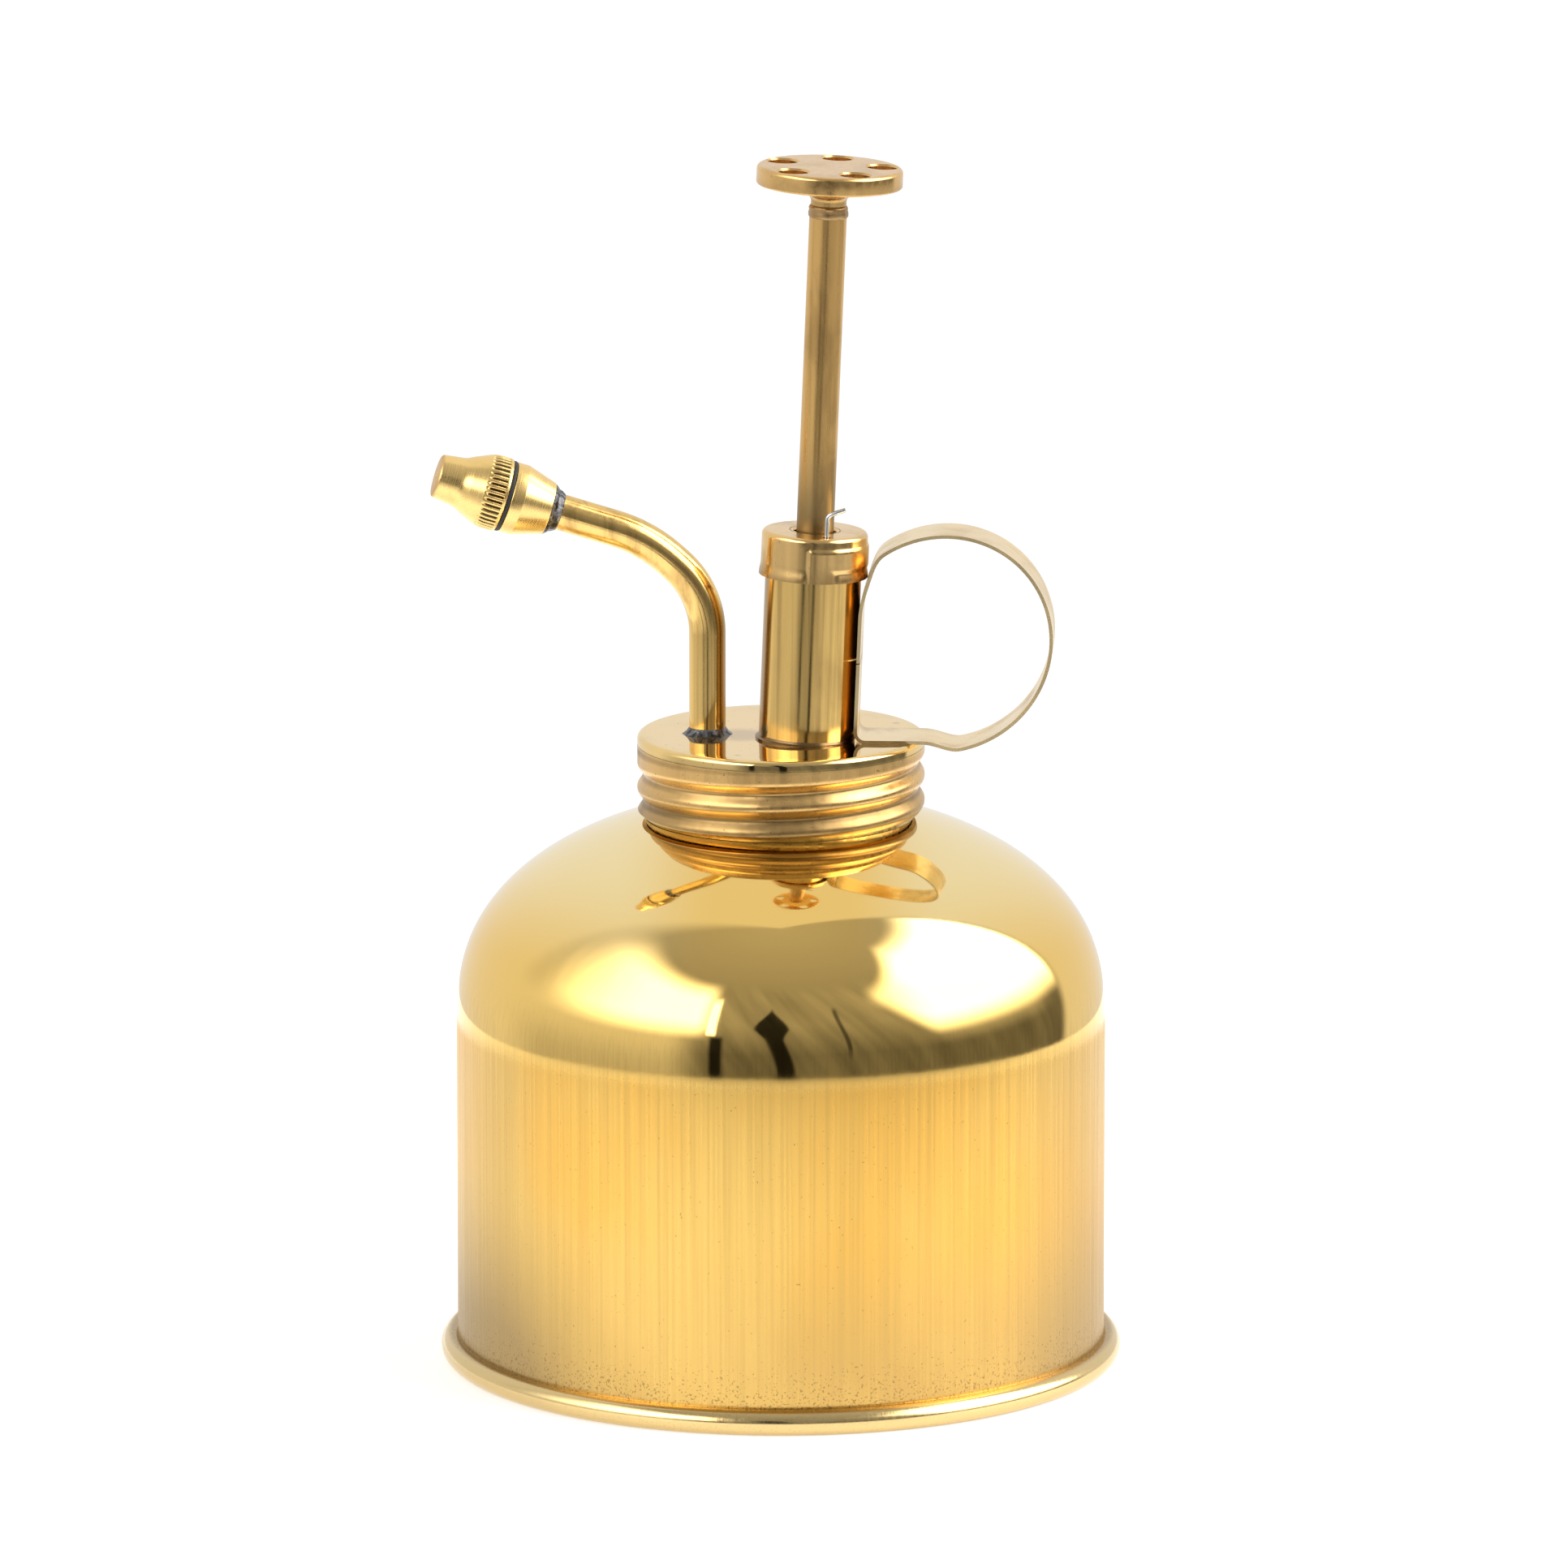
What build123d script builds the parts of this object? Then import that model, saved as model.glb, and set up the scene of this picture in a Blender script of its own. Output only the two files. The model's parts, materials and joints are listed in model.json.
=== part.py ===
"""Brass pump sprayer (plant mister) as an assembly of separate pieces.

Millimetres. The origin is the centre of the base where it stands on the table, +Z is up.
The finger loop is on the +X side and the spout points towards -X.
The pump leans a little out of the vertical, so its pieces are drawn upright in their own
frame and set in place by the location PUMP.
"""
from build123d import *
from math import atan2, cos, degrees, hypot, radians, sin, sqrt, tan
import os

os.makedirs("parts", exist_ok=True)

# ---- reservoir
SHEET = 0.6
BODY_RADIUS = 42.8
DOME_START_Z = 46.0
DOME_HEIGHT = 29.0
DOME_EXPONENT_R = 2.0
DOME_EXPONENT_Z = 2.4
BEAD_RADIUS = 1.7
BEAD_CENTRE_RADIUS = 43.3
BEAD_CENTRE_Z = 1.6
BEAD_WIRE_RADIUS = 1.05
BASE_PLATE_Z = 4.6
BASE_PLATE_CROWN = 0.8
FIT_GAP = 0.05

# ---- threaded neck and cap
NECK_INNER_RADIUS = 16.0
NECK_SPIGOT_RADIUS = 17.2
NECK_RADIUS = 18.1
NECK_RIM_Z = 81.7
NECK_FOOT_Z = 71.6
CAP_RADIUS = 18.9
CAP_SHEET = 0.6
CAP_TOP_Z = 83.9
CAP_BOTTOM_Z = 73.8
CAP_EDGE = 1.3
THREAD_PITCH = 3.4
THREAD_FRONT_Z = 79.3
THREAD_AXIS_RADIUS = 19.13
GROOVE_RADIUS = 1.0
THREAD_PLAY = 0.08
THREAD_LOW_Z = 70.0
CAP_THREAD_END = 180.0
NECK_THREAD_END = 500.0
GASKET_THICKNESS = 1.4
GASKET_INNER_RADIUS = 14.9
GASKET_OUTER_RADIUS = 17.3

# ---- pump barrel, in the pump's own frame with z = 0 at the top of the cap
PUMP_X = 3.36
PUMP_Y = -2.7
PUMP_LEAN = 2.3
BARREL_RADIUS = 6.3
BARREL_BORE = 5.8
BARREL_TOP = 26.9
BARREL_BOTTOM = -38.5
PORT_Z = -33.6
PORT_RADIUS = 1.2

# ---- barrel cap with its bayonet track
CAP_SKIRT_Z = 21.8
CAP_ROOF_Z = 27.0
CAP_SKIN = 0.7
CAP_BORE = 6.35
SKIRT_RADIUS = 6.95
CAP_ROOF_EDGE = 1.25
TRACK_BORE = 6.75
TRACK_RADIUS = 7.15
TRACK_ENTRY_ANGLE = -82.0
TRACK_ENTRY_HALF = 14.0
TRACK_TURN = 80.0
TRACK_LOW_Z = 23.3
TRACK_HIGH_Z = 26.3
BAYONET_PIN_RADIUS = 1.0
BAYONET_PIN_REACH = 6.6
TRACK_PRESS = 4.0
CAP_LIP = 0.7
CAP_LIP_ARC = 328.0

# ---- plunger
ROD_RADIUS = 2.45
ROD_HOLE_RADIUS = 2.8
ROD_SHOULDER_Z = 10.2
ROD_END_Z = 2.4
ROD_SPIGOT_RADIUS = 1.9
COLLAR_Z = 69.2
KNOB_UNDER_Z = 73.4
KNOB_TOP_Z = 75.9
KNOB_RADIUS = 9.55
KNOB_HOLE_RADIUS = 2.0
KNOB_HOLE_CIRCLE = 6.9
KNOB_HOLES = 5
DISH_RADIUS = 6.1
KNOB_HOLE_START = 10.0
CUP_RADIUS = 5.75

# ---- return spring
WIRE_RADIUS = 0.31
COIL_RADIUS = 5.43
COIL_BOTTOM_Z = 11.2
COIL_TOP_Z = 26.3
COIL_TURNS = 13.0
HOOK_ANGLE = -74.0
HOOK_RISE = 3.9
HOOK_RUN = 2.3
HOOK_LIFT = 0.9
HOOK_BEND = 0.7
HOOK_HOLE_RADIUS = 0.5
ANCHOR_PLAY = 0.08
COIL_HEIGHT = COIL_TOP_Z - COIL_BOTTOM_Z
COIL_END_ANGLE = HOOK_ANGLE - 360 * COIL_TURNS

# ---- intake valve, in the pump frame
FOOT_TOP_Z = -35.0
FOOT_BOTTOM_Z = -46.5
INTAKE_SEAT_Z = -44.0
INTAKE_SEAT_RADIUS = 1.7
INTAKE_BALL_RADIUS = 2.5
BALL_PLAY = 0.03
BALL_LIFT = 1.2
STOP_GAP = 0.05
STOP_PIN_RADIUS = 0.4
DIP_TUBE_RADIUS = 2.2
DIP_TUBE_WALL = 0.5
DIP_TUBE_END_Z = -75.0

# ---- spout, outlet valve and nozzle
SPOUT_X = -9.65
SPOUT_Y = -0.5
SPOUT_TURN = 5.5
SPOUT_RADIUS = 2.4
SPOUT_WALL = 0.5
NOZZLE_RISE = 17.75
NOZZLE_REACH = 35.51
NOZZLE_TIP_Z = 119.06
TUBE_SOCKET = 12.5
KNEE_REACH = 8.0
KNEE_ANGLE = 47.0
KNEE_RADII = [14.0, 20.0]
OUTLET_BODY_RADIUS = 3.7
OUTLET_BOTTOM_Z = 46.5
OUTLET_SEAT_Z = 52.6
OUTLET_SEAT_RADIUS = 1.5
OUTLET_BALL_RADIUS = 2.0
OUTLET_SHOULDER_Z = 58.6
OUTLET_TOP_Z = 61.0
KNURL_COUNT = 40
KNURL_LOW = 6.15
KNURL_HIGH = 8.85
KNURL_DEPTH = 0.2

# ---- finger loop
LOOP_TURN = -3.0
STRIP_WIDTH = 8.5
STRIP_THICKNESS = 0.45
LOOP_CENTRE = (17.9, 97.3)
LOOP_RADIUS = 14.3
LOOP_OVAL = 0.04
LOOP_START_ANGLE = -80.0
LOOP_ARC = 202.0
LOOP_FOOT_REACH = 15.25
LOOP_FOOT_BEND = 1.3
LOOP_SHOULDER = (8.45, 105.9)
LOOP_BUTT_HEIGHT = 10.6
LOOP_LEAVE_HEIGHT = 16.6
LOOP_BUTT_GAP = 0.15

PUMP = Pos(PUMP_X, PUMP_Y, CAP_TOP_Z) * Rot(0, PUMP_LEAN, 0)


def save(shape, name):
    export_step(shape, f"parts/{name}.step")


def turned(points):
    """Solid of revolution about Z from a closed outline of (radius, height) points."""
    return revolve(Plane.XZ * make_face(Polyline(*points, close=True)), Axis.Z)


def disc(radius, low, high):
    return Pos(0, 0, (low + high) / 2) * Cylinder(radius, high - low)


def tube(outer, inner, low, high):
    return disc(outer, low, high) - disc(inner, low - 1, high + 1)


def ring_sector(inner, outer, low, high, start, arc):
    """Part of an upright ring that starts at an angle and covers an arc, in degrees."""
    outline = Polyline((inner, low), (outer, low), (outer, high), (inner, high), close=True)
    return Rot(0, 0, start) * revolve(Plane.XZ * make_face(outline), Axis.Z, arc)


def rod_between(start, end, radius):
    """Round rod from one point to another."""
    path = Line(start, end)
    return sweep(Plane(path @ 0, z_dir=path % 0) * Circle(radius), path)


# ---------------------------------------------------------------- reservoir
def dome_points(radius, height, mouth, steps=14):
    """Points of the shoulder curve (r/R)^a + (h/H)^b = 1, from the wall up to the mouth."""
    last = degrees(atan2(sqrt(1 - (mouth / radius) ** DOME_EXPONENT_R), mouth / radius))
    points = []
    for i in range(steps + 1):
        angle = radians(last * i / steps)
        r = radius * cos(angle) ** (2 / DOME_EXPONENT_R)
        h = height * sin(angle) ** (2 / DOME_EXPONENT_Z)
        points.append((r, DOME_START_Z + h))
    return points


def dome_solid(radius, height, mouth, bottom):
    """Solid body under the shoulder curve, open to nothing, down to a flat bottom."""
    curve = Spline(*dome_points(radius, height, mouth), tangents=[(0, 1), (-1, 0.12)])
    top = (curve @ 1).Y
    edges = [
        curve,
        Line((mouth, top), (0, top)),
        Line((0, top), (0, bottom)),
        Line((0, bottom), (radius, bottom)),
        Line((radius, bottom), (radius, DOME_START_Z)),
    ]
    return revolve(Plane.XZ * make_face(edges), Axis.Z)


def reservoir_shell():
    """Spun body: straight wall, round shoulder, open mouth, foot rolled round a wire."""
    wall_foot = BEAD_CENTRE_Z + 1.1
    outer = dome_solid(BODY_RADIUS, DOME_HEIGHT, NECK_SPIGOT_RADIUS, wall_foot)
    inner = dome_solid(BODY_RADIUS - SHEET, DOME_HEIGHT - SHEET, NECK_SPIGOT_RADIUS, wall_foot - 1)
    shell = outer - inner - disc(NECK_SPIGOT_RADIUS, DOME_START_Z, CAP_TOP_Z)
    bead = Pos(0, 0, BEAD_CENTRE_Z) * Torus(BEAD_CENTRE_RADIUS, BEAD_RADIUS)
    hollow = Pos(0, 0, BEAD_CENTRE_Z) * Torus(BEAD_CENTRE_RADIUS, BEAD_WIRE_RADIUS + FIT_GAP)
    return shell + (bead - hollow - disc(BODY_RADIUS + 5, -5, 0))


def bead_wire():
    return Pos(0, 0, BEAD_CENTRE_Z) * Torus(BEAD_CENTRE_RADIUS, BEAD_WIRE_RADIUS)


def base_plate():
    """Shallow pan pushed up inside the wall, with a skirt and a slightly crowned floor."""
    radius = BODY_RADIUS - SHEET - FIT_GAP
    low = BASE_PLATE_Z
    crown = low + BASE_PLATE_CROWN
    skirt = BEAD_CENTRE_Z + 1.7
    return turned([
        (0, crown), (radius - 7, crown), (radius - 5, low), (radius - SHEET, low),
        (radius - SHEET, skirt), (radius, skirt), (radius, low + SHEET),
        (radius - 4.8, low + SHEET), (radius - 6.8, crown + SHEET), (0, crown + SHEET),
    ])


def thread_tube(radius, play, low_z, end_deg):
    """Round bar coiled along the thread line, from low_z up to an angle past the front.

    The thread line is at THREAD_FRONT_Z in front (-Y) and climbs anticlockwise from above.
    end_deg counts from the front; the bar ends with a flat face there.
    """
    end_z = THREAD_FRONT_Z + THREAD_PITCH * end_deg / 360
    turns = (end_z - low_z) / THREAD_PITCH
    start_deg = -90 + end_deg - 360 * turns
    path = Helix(THREAD_PITCH, THREAD_PITCH * turns, THREAD_AXIS_RADIUS)
    bar = sweep(Plane(path @ 0, z_dir=path % 0) * Circle(radius + play), path, is_frenet=True)
    return Pos(0, 0, low_z) * Rot(0, 0, start_deg) * bar


def neck_collar():
    """Turned ring with the outside thread, standing on the shoulder round the mouth."""
    waste = 12
    bar = tube(NECK_RADIUS, NECK_INNER_RADIUS, NECK_FOOT_Z - waste, NECK_RIM_Z + waste)
    ring = bar - thread_tube(GROOVE_RADIUS + CAP_SHEET, THREAD_PLAY, THREAD_LOW_Z, NECK_THREAD_END)
    ring -= disc(NECK_RADIUS + 1, NECK_RIM_Z, NECK_RIM_Z + waste + 1)
    ring -= disc(NECK_RADIUS + 1, NECK_FOOT_Z - waste - 1, NECK_FOOT_Z)
    shoulder = dome_solid(BODY_RADIUS, DOME_HEIGHT, NECK_SPIGOT_RADIUS, DOME_START_Z - 5)
    return ring - (shoulder - disc(NECK_SPIGOT_RADIUS - 0.02, DOME_START_Z - 6, CAP_TOP_Z))


# ---------------------------------------------------------------- lid
def lid_cap():
    """Thin screw cap whose rolled thread shows outside as a groove and inside as a rib."""
    body = disc(CAP_RADIUS, CAP_BOTTOM_Z, CAP_TOP_Z)
    body = fillet(body.edges().group_by(Axis.Z)[-1], CAP_EDGE)
    body -= thread_tube(GROOVE_RADIUS, 0, THREAD_LOW_Z, CAP_THREAD_END)
    void = disc(CAP_RADIUS - CAP_SHEET, CAP_BOTTOM_Z - 3, CAP_TOP_Z - CAP_SKIN)
    void -= thread_tube(GROOVE_RADIUS + CAP_SHEET, 0, THREAD_LOW_Z - 2, CAP_THREAD_END + 4)
    barrel_hole = PUMP * disc(BARREL_RADIUS, -6, 6)
    spout_hole = Pos(SPOUT_X, SPOUT_Y, 0) * disc(SPOUT_RADIUS, CAP_TOP_Z - 4, CAP_TOP_Z + 4)
    return body - void - barrel_hole - spout_hole


def lid_gasket():
    top = CAP_TOP_Z - CAP_SKIN
    return tube(GASKET_OUTER_RADIUS, GASKET_INNER_RADIUS, top - GASKET_THICKNESS, top)


def port_direction():
    """Level unit vector from the outlet valve to the barrel's axis, and the distance."""
    axis_x = PUMP_X + PORT_Z * sin(radians(PUMP_LEAN))
    dx = axis_x - SPOUT_X
    dy = PUMP_Y - SPOUT_Y
    length = hypot(dx, dy)
    return Vector(dx / length, dy / length, 0), length


def port_bar(radius, start, end):
    """Level rod from the outlet valve towards the barrel, between two distances."""
    way, _ = port_direction()
    origin = Vector(SPOUT_X, SPOUT_Y, CAP_TOP_Z + PORT_Z)
    return rod_between(origin + way * start, origin + way * end, radius)


def pump_barrel():
    body = PUMP * tube(BARREL_RADIUS, BARREL_BORE, BARREL_BOTTOM, BARREL_TOP)
    body -= port_bar(PORT_RADIUS, 3, 11)
    return body - PUMP * bayonet_pin_shank()


def bayonet_pin_shank():
    """Round shank through the barrel wall, under the far end of the bayonet track."""
    angle = TRACK_ENTRY_ANGLE + TRACK_TURN
    z = (TRACK_LOW_Z + TRACK_HIGH_Z) / 2
    inner = BARREL_BORE + 0.02
    way = Vector(cos(radians(angle)), sin(radians(angle)), 0)
    lift = Vector(0, 0, z)
    return rod_between(way * (inner - 0.5) + lift, way * (BAYONET_PIN_REACH + 0.5) + lift, BAYONET_PIN_RADIUS)


def bayonet_pin():
    return PUMP * (bayonet_pin_shank() & tube(BAYONET_PIN_REACH, BARREL_BORE + 0.02, 20, 28))


def barrel_cap():
    """Pressed cap over the barrel's top with an L-shaped track pushed outwards."""
    top = CAP_ROOF_Z + CAP_SKIN
    body = fillet(disc(SKIRT_RADIUS, CAP_SKIRT_Z, top).edges().group_by(Axis.Z)[-1], CAP_ROOF_EDGE)
    entry = TRACK_ENTRY_ANGLE - TRACK_ENTRY_HALF
    run = TRACK_TURN + 2 * TRACK_ENTRY_HALF
    body += ring_sector(5, TRACK_RADIUS, CAP_SKIRT_Z, TRACK_HIGH_Z, entry, 2 * TRACK_ENTRY_HALF)
    body += ring_sector(5, TRACK_RADIUS, TRACK_LOW_Z, TRACK_HIGH_Z, entry, run)
    lip_start = TRACK_ENTRY_ANGLE + TRACK_ENTRY_HALF + 2
    body += ring_sector(5, TRACK_RADIUS, CAP_SKIRT_Z, CAP_SKIRT_Z + CAP_LIP, lip_start, CAP_LIP_ARC)
    body -= disc(CAP_BORE, CAP_SKIRT_Z - 1, CAP_ROOF_Z)
    track_low = TRACK_LOW_Z + 0.3
    track_top = TRACK_HIGH_Z - 0.3
    width = 2 * (TRACK_ENTRY_HALF - TRACK_PRESS)
    body -= ring_sector(5, TRACK_BORE, CAP_SKIRT_Z - 1, track_top, entry + TRACK_PRESS, width)
    body -= ring_sector(5, TRACK_BORE, track_low, track_top, entry + TRACK_PRESS, run - 2 * TRACK_PRESS)
    body -= disc(ROD_HOLE_RADIUS, CAP_SKIRT_Z, top + 1)
    hook_x = COIL_RADIUS * cos(radians(HOOK_ANGLE))
    hook_y = COIL_RADIUS * sin(radians(HOOK_ANGLE))
    body -= Pos(hook_x, hook_y, 0) * disc(HOOK_HOLE_RADIUS, CAP_SKIRT_Z + 2, top + 1)
    return PUMP * body


def pump_foot():
    """Turned plug that closes the barrel and holds the intake ball's seat."""
    outline = [
        (INTAKE_SEAT_RADIUS, INTAKE_SEAT_Z), (3.1, INTAKE_SEAT_Z), (3.1, FOOT_TOP_Z),
        (BARREL_BORE - 0.02, FOOT_TOP_Z), (BARREL_BORE - 0.02, BARREL_BOTTOM),
        (BARREL_RADIUS, BARREL_BOTTOM), (BARREL_RADIUS, BARREL_BOTTOM - 1.2),
        (4.2, BARREL_BOTTOM - 2.4), (4.2, FOOT_BOTTOM_Z),
        (DIP_TUBE_RADIUS, FOOT_BOTTOM_Z), (DIP_TUBE_RADIUS, INTAKE_SEAT_Z - 0.9),
        (INTAKE_SEAT_RADIUS, INTAKE_SEAT_Z - 0.9),
    ]
    return PUMP * (turned(outline) - intake_pin_bar())


def intake_pin_bar():
    top = INTAKE_SEAT_Z + sqrt(INTAKE_BALL_RADIUS ** 2 - INTAKE_SEAT_RADIUS ** 2)
    z = top + INTAKE_BALL_RADIUS + BALL_PLAY + BALL_LIFT + STOP_GAP + STOP_PIN_RADIUS
    return rod_between((-5, 0, z), (5, 0, z), STOP_PIN_RADIUS)


def intake_ball():
    z = INTAKE_SEAT_Z + sqrt(INTAKE_BALL_RADIUS ** 2 - INTAKE_SEAT_RADIUS ** 2) + BALL_PLAY
    return PUMP * Pos(0, 0, z) * Sphere(INTAKE_BALL_RADIUS)


def dip_tube():
    """Suction tube with its lower end cut at a slant."""
    top = INTAKE_SEAT_Z - 0.9
    body = tube(DIP_TUBE_RADIUS, DIP_TUBE_RADIUS - DIP_TUBE_WALL, DIP_TUBE_END_Z, top)
    body -= Pos(0, 0, DIP_TUBE_END_Z - 2) * Rot(0, 35, 0) * Box(20, 20, 7)
    return PUMP * body


def spout_plane():
    """Upright plane of the spout: x runs outwards to the nozzle, y runs up."""
    turn = radians(SPOUT_TURN)
    outwards = (-cos(turn), -sin(turn), 0)
    return Plane((SPOUT_X, SPOUT_Y, 0), x_dir=outwards, z_dir=(-sin(turn), cos(turn), 0))


def spout_tube():
    """Delivery tube from the outlet valve up through the cap and over to the nozzle."""
    rise = radians(NOZZLE_RISE)
    end_s = NOZZLE_REACH - TUBE_SOCKET * cos(rise)
    end_z = NOZZLE_TIP_Z - TUBE_SOCKET * sin(rise)
    knee_z = NOZZLE_TIP_Z - (NOZZLE_REACH - KNEE_REACH) * tan(rise)
    heel_z = knee_z - KNEE_REACH / tan(radians(KNEE_ANGLE))
    points = [(0, OUTLET_SHOULDER_Z), (0, heel_z), (KNEE_REACH, knee_z), (end_s, end_z)]
    path = spout_plane() * FilletPolyline(*points, radius=KNEE_RADII)
    section = Plane(path @ 0, z_dir=path % 0)
    outer = sweep(section * Circle(SPOUT_RADIUS), path)
    inner = sweep(section * Circle(SPOUT_RADIUS - SPOUT_WALL), path)
    return outer - inner


def outlet_pin_bar():
    rest = OUTLET_SEAT_Z + sqrt(OUTLET_BALL_RADIUS ** 2 - OUTLET_SEAT_RADIUS ** 2)
    z = rest + OUTLET_BALL_RADIUS + BALL_PLAY + BALL_LIFT + STOP_GAP + STOP_PIN_RADIUS
    start = (SPOUT_X, SPOUT_Y - OUTLET_BODY_RADIUS + 0.1, z)
    end = (SPOUT_X, SPOUT_Y + OUTLET_BODY_RADIUS - 0.1, z)
    return rod_between(start, end, STOP_PIN_RADIUS)


def outlet_valve_body():
    """Valve chamber beside the barrel's foot, joined to the barrel by a level boss."""
    column = Pos(SPOUT_X, SPOUT_Y, 0) * disc(OUTLET_BODY_RADIUS, OUTLET_BOTTOM_Z, OUTLET_TOP_Z)
    body = column + port_bar(2.2, 0, 8)
    body -= PUMP * disc(BARREL_RADIUS + 0.02, BARREL_BOTTOM - 5, 0)
    bores = turned([
        (0, OUTLET_BOTTOM_Z + 1.5), (OUTLET_SEAT_RADIUS, OUTLET_BOTTOM_Z + 1.5),
        (OUTLET_SEAT_RADIUS, OUTLET_SEAT_Z), (2.6, OUTLET_SEAT_Z), (2.6, OUTLET_SHOULDER_Z - 0.8),
        (SPOUT_RADIUS - SPOUT_WALL, OUTLET_SHOULDER_Z - 0.4),
        (SPOUT_RADIUS - SPOUT_WALL, OUTLET_SHOULDER_Z),
        (SPOUT_RADIUS, OUTLET_SHOULDER_Z), (SPOUT_RADIUS, OUTLET_TOP_Z + 1), (0, OUTLET_TOP_Z + 1),
    ])
    body -= Pos(SPOUT_X, SPOUT_Y, 0) * bores
    return body - port_bar(PORT_RADIUS, 0, 12) - outlet_pin_bar()


def outlet_ball():
    z = OUTLET_SEAT_Z + sqrt(OUTLET_BALL_RADIUS ** 2 - OUTLET_SEAT_RADIUS ** 2) + BALL_PLAY
    return Pos(SPOUT_X, SPOUT_Y, z) * Sphere(OUTLET_BALL_RADIUS)


def loop_points(steps=16):
    """Ring of the finger loop, slightly oval because it is bent by hand."""
    points = []
    for i in range(steps + 1):
        angle = radians(LOOP_START_ANGLE + LOOP_ARC * i / steps)
        reach = LOOP_RADIUS * cos(angle)
        points.append((LOOP_CENTRE[0] + reach, LOOP_CENTRE[1] + LOOP_RADIUS * sin(angle) + LOOP_OVAL * reach))
    return points


def finger_loop():
    """Flat brass strip: up the barrel's side, round as a ring and back along the cap's top."""
    turn = radians(LOOP_TURN)
    plane = Plane((PUMP_X, PUMP_Y, 0), x_dir=(cos(turn), sin(turn), 0), z_dir=(sin(turn), -cos(turn), 0))
    half = STRIP_THICKNESS / 2
    lean = sin(radians(PUMP_LEAN))
    side = BARREL_RADIUS + half
    flat_z = CAP_TOP_Z + half
    corner = (side + lean * half, flat_z)
    butt = (side + lean * LOOP_BUTT_HEIGHT, CAP_TOP_Z + LOOP_BUTT_HEIGHT)
    toe = (LOOP_FOOT_REACH, flat_z)
    foot = FilletPolyline(butt, corner, toe, radius=LOOP_FOOT_BEND)
    ring = Spline(*loop_points())
    joggle = Spline(toe, ring @ 0, tangents=[(1, 0), ring % 0])
    leave = (side + lean * LOOP_LEAVE_HEIGHT, CAP_TOP_Z + LOOP_LEAVE_HEIGHT)
    shoulder = Spline(ring @ 1, LOOP_SHOULDER, leave, tangents=[ring % 1, (-lean, -1)])
    back = Line(leave, (butt[0], butt[1] + LOOP_BUTT_GAP))
    path = plane * Wire([*foot.edges(), *joggle.edges(), *ring.edges(), *shoulder.edges(), *back.edges()])
    section = Plane(path @ 0, x_dir=plane.z_dir, z_dir=path % 0)
    return sweep(section * Rectangle(STRIP_WIDTH, STRIP_THICKNESS), path)


def solder_spout():
    """Fillet of solder round the spout where it leaves the cap."""
    low = CAP_TOP_Z
    ring = turned([
        (SPOUT_RADIUS, low), (3.3, low), (2.95, low + 0.25), (2.6, low + 0.6),
        (SPOUT_RADIUS, low + 0.95),
    ])
    return Pos(SPOUT_X, SPOUT_Y, 0) * ring


def solder_barrel():
    """Low fillet of solder round the barrel on the cap, open where the finger loop stands."""
    ring = turned([(BARREL_RADIUS, -0.3), (6.75, -0.3), (6.75, 0.02), (6.45, 0.2), (BARREL_RADIUS, 0.5)])
    return PUMP * ring - finger_loop() - disc(30, 70, CAP_TOP_Z)


# ---------------------------------------------------------------- nozzle
def nozzle_frame():
    """Frame at the centre of the nozzle's tip, z running back along its axis."""
    rise = radians(NOZZLE_RISE)
    plane = spout_plane()
    tip = plane.from_local_coords(Vector(NOZZLE_REACH, NOZZLE_TIP_Z, 0))
    back = plane.from_local_coords(Vector(NOZZLE_REACH - cos(rise), NOZZLE_TIP_Z - sin(rise), 0)) - tip
    return Plane(tip, x_dir=plane.z_dir, z_dir=back).location


def nozzle_cap():
    """Knurled adjusting cap with the spray orifice."""
    outline = [
        (0.3, 0.6), (0.9, 0), (2.5, 0), (2.84, 0.35), (3.3, 3.25), (3.85, 4.35), (4.6, KNURL_LOW),
        (4.9, 7.5), (4.9, KNURL_HIGH), (4.83, 9.2), (3.4, 9.2), (3.4, 5.0),
        (2.2, 5.0), (2.2, 1.6), (0.3, 1.6),
    ]
    body = turned(outline)
    side = KNURL_DEPTH * sqrt(2)
    for i in range(KNURL_COUNT):
        middle = (KNURL_LOW + KNURL_HIGH) / 2
        groove = Pos(4.93, 0, middle) * Rot(0, 0, 45) * Box(side, side, KNURL_HIGH - KNURL_LOW)
        body -= Rot(0, 0, 360 * i / KNURL_COUNT) * groove
    return nozzle_frame() * body


def swirl_core():
    """Small plug behind the orifice; two slanting slots set the water spinning."""
    body = disc(2.1, 1.65, 4.7)
    for side in (0, 180):
        body -= Rot(0, 0, side) * Pos(2.1, 0, 3.2) * Rot(35, 0, 0) * Box(1.2, 0.6, 6)
    return nozzle_frame() * body


def nozzle_seal():
    return nozzle_frame() * fillet(tube(4.74, 3.36, 9.22, 9.78).edges().filter_by(GeomType.CIRCLE), 0.12)


def nozzle_base():
    """Turned body on the end of the spout, with the spigot that the cap screws on."""
    outline = [
        (1.2, 5.3), (3.3, 5.3), (3.3, 9.8), (4.65, 9.8), (4.7, 10.0), (4.7, 11.3), (4.55, 11.5),
        (3.5, 15.3), (3.3, 15.5), (SPOUT_RADIUS, 15.5), (SPOUT_RADIUS, TUBE_SOCKET), (1.2, TUBE_SOCKET),
    ]
    return nozzle_frame() * turned(outline)


def solder_nozzle():
    outline = [
        (SPOUT_RADIUS, 15.5), (3.3, 15.5), (3.2, 15.75), (2.85, 16.1), (2.75, 16.5),
        (2.55, 16.9), (SPOUT_RADIUS, 17.0),
    ]
    return nozzle_frame() * turned(outline)


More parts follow.
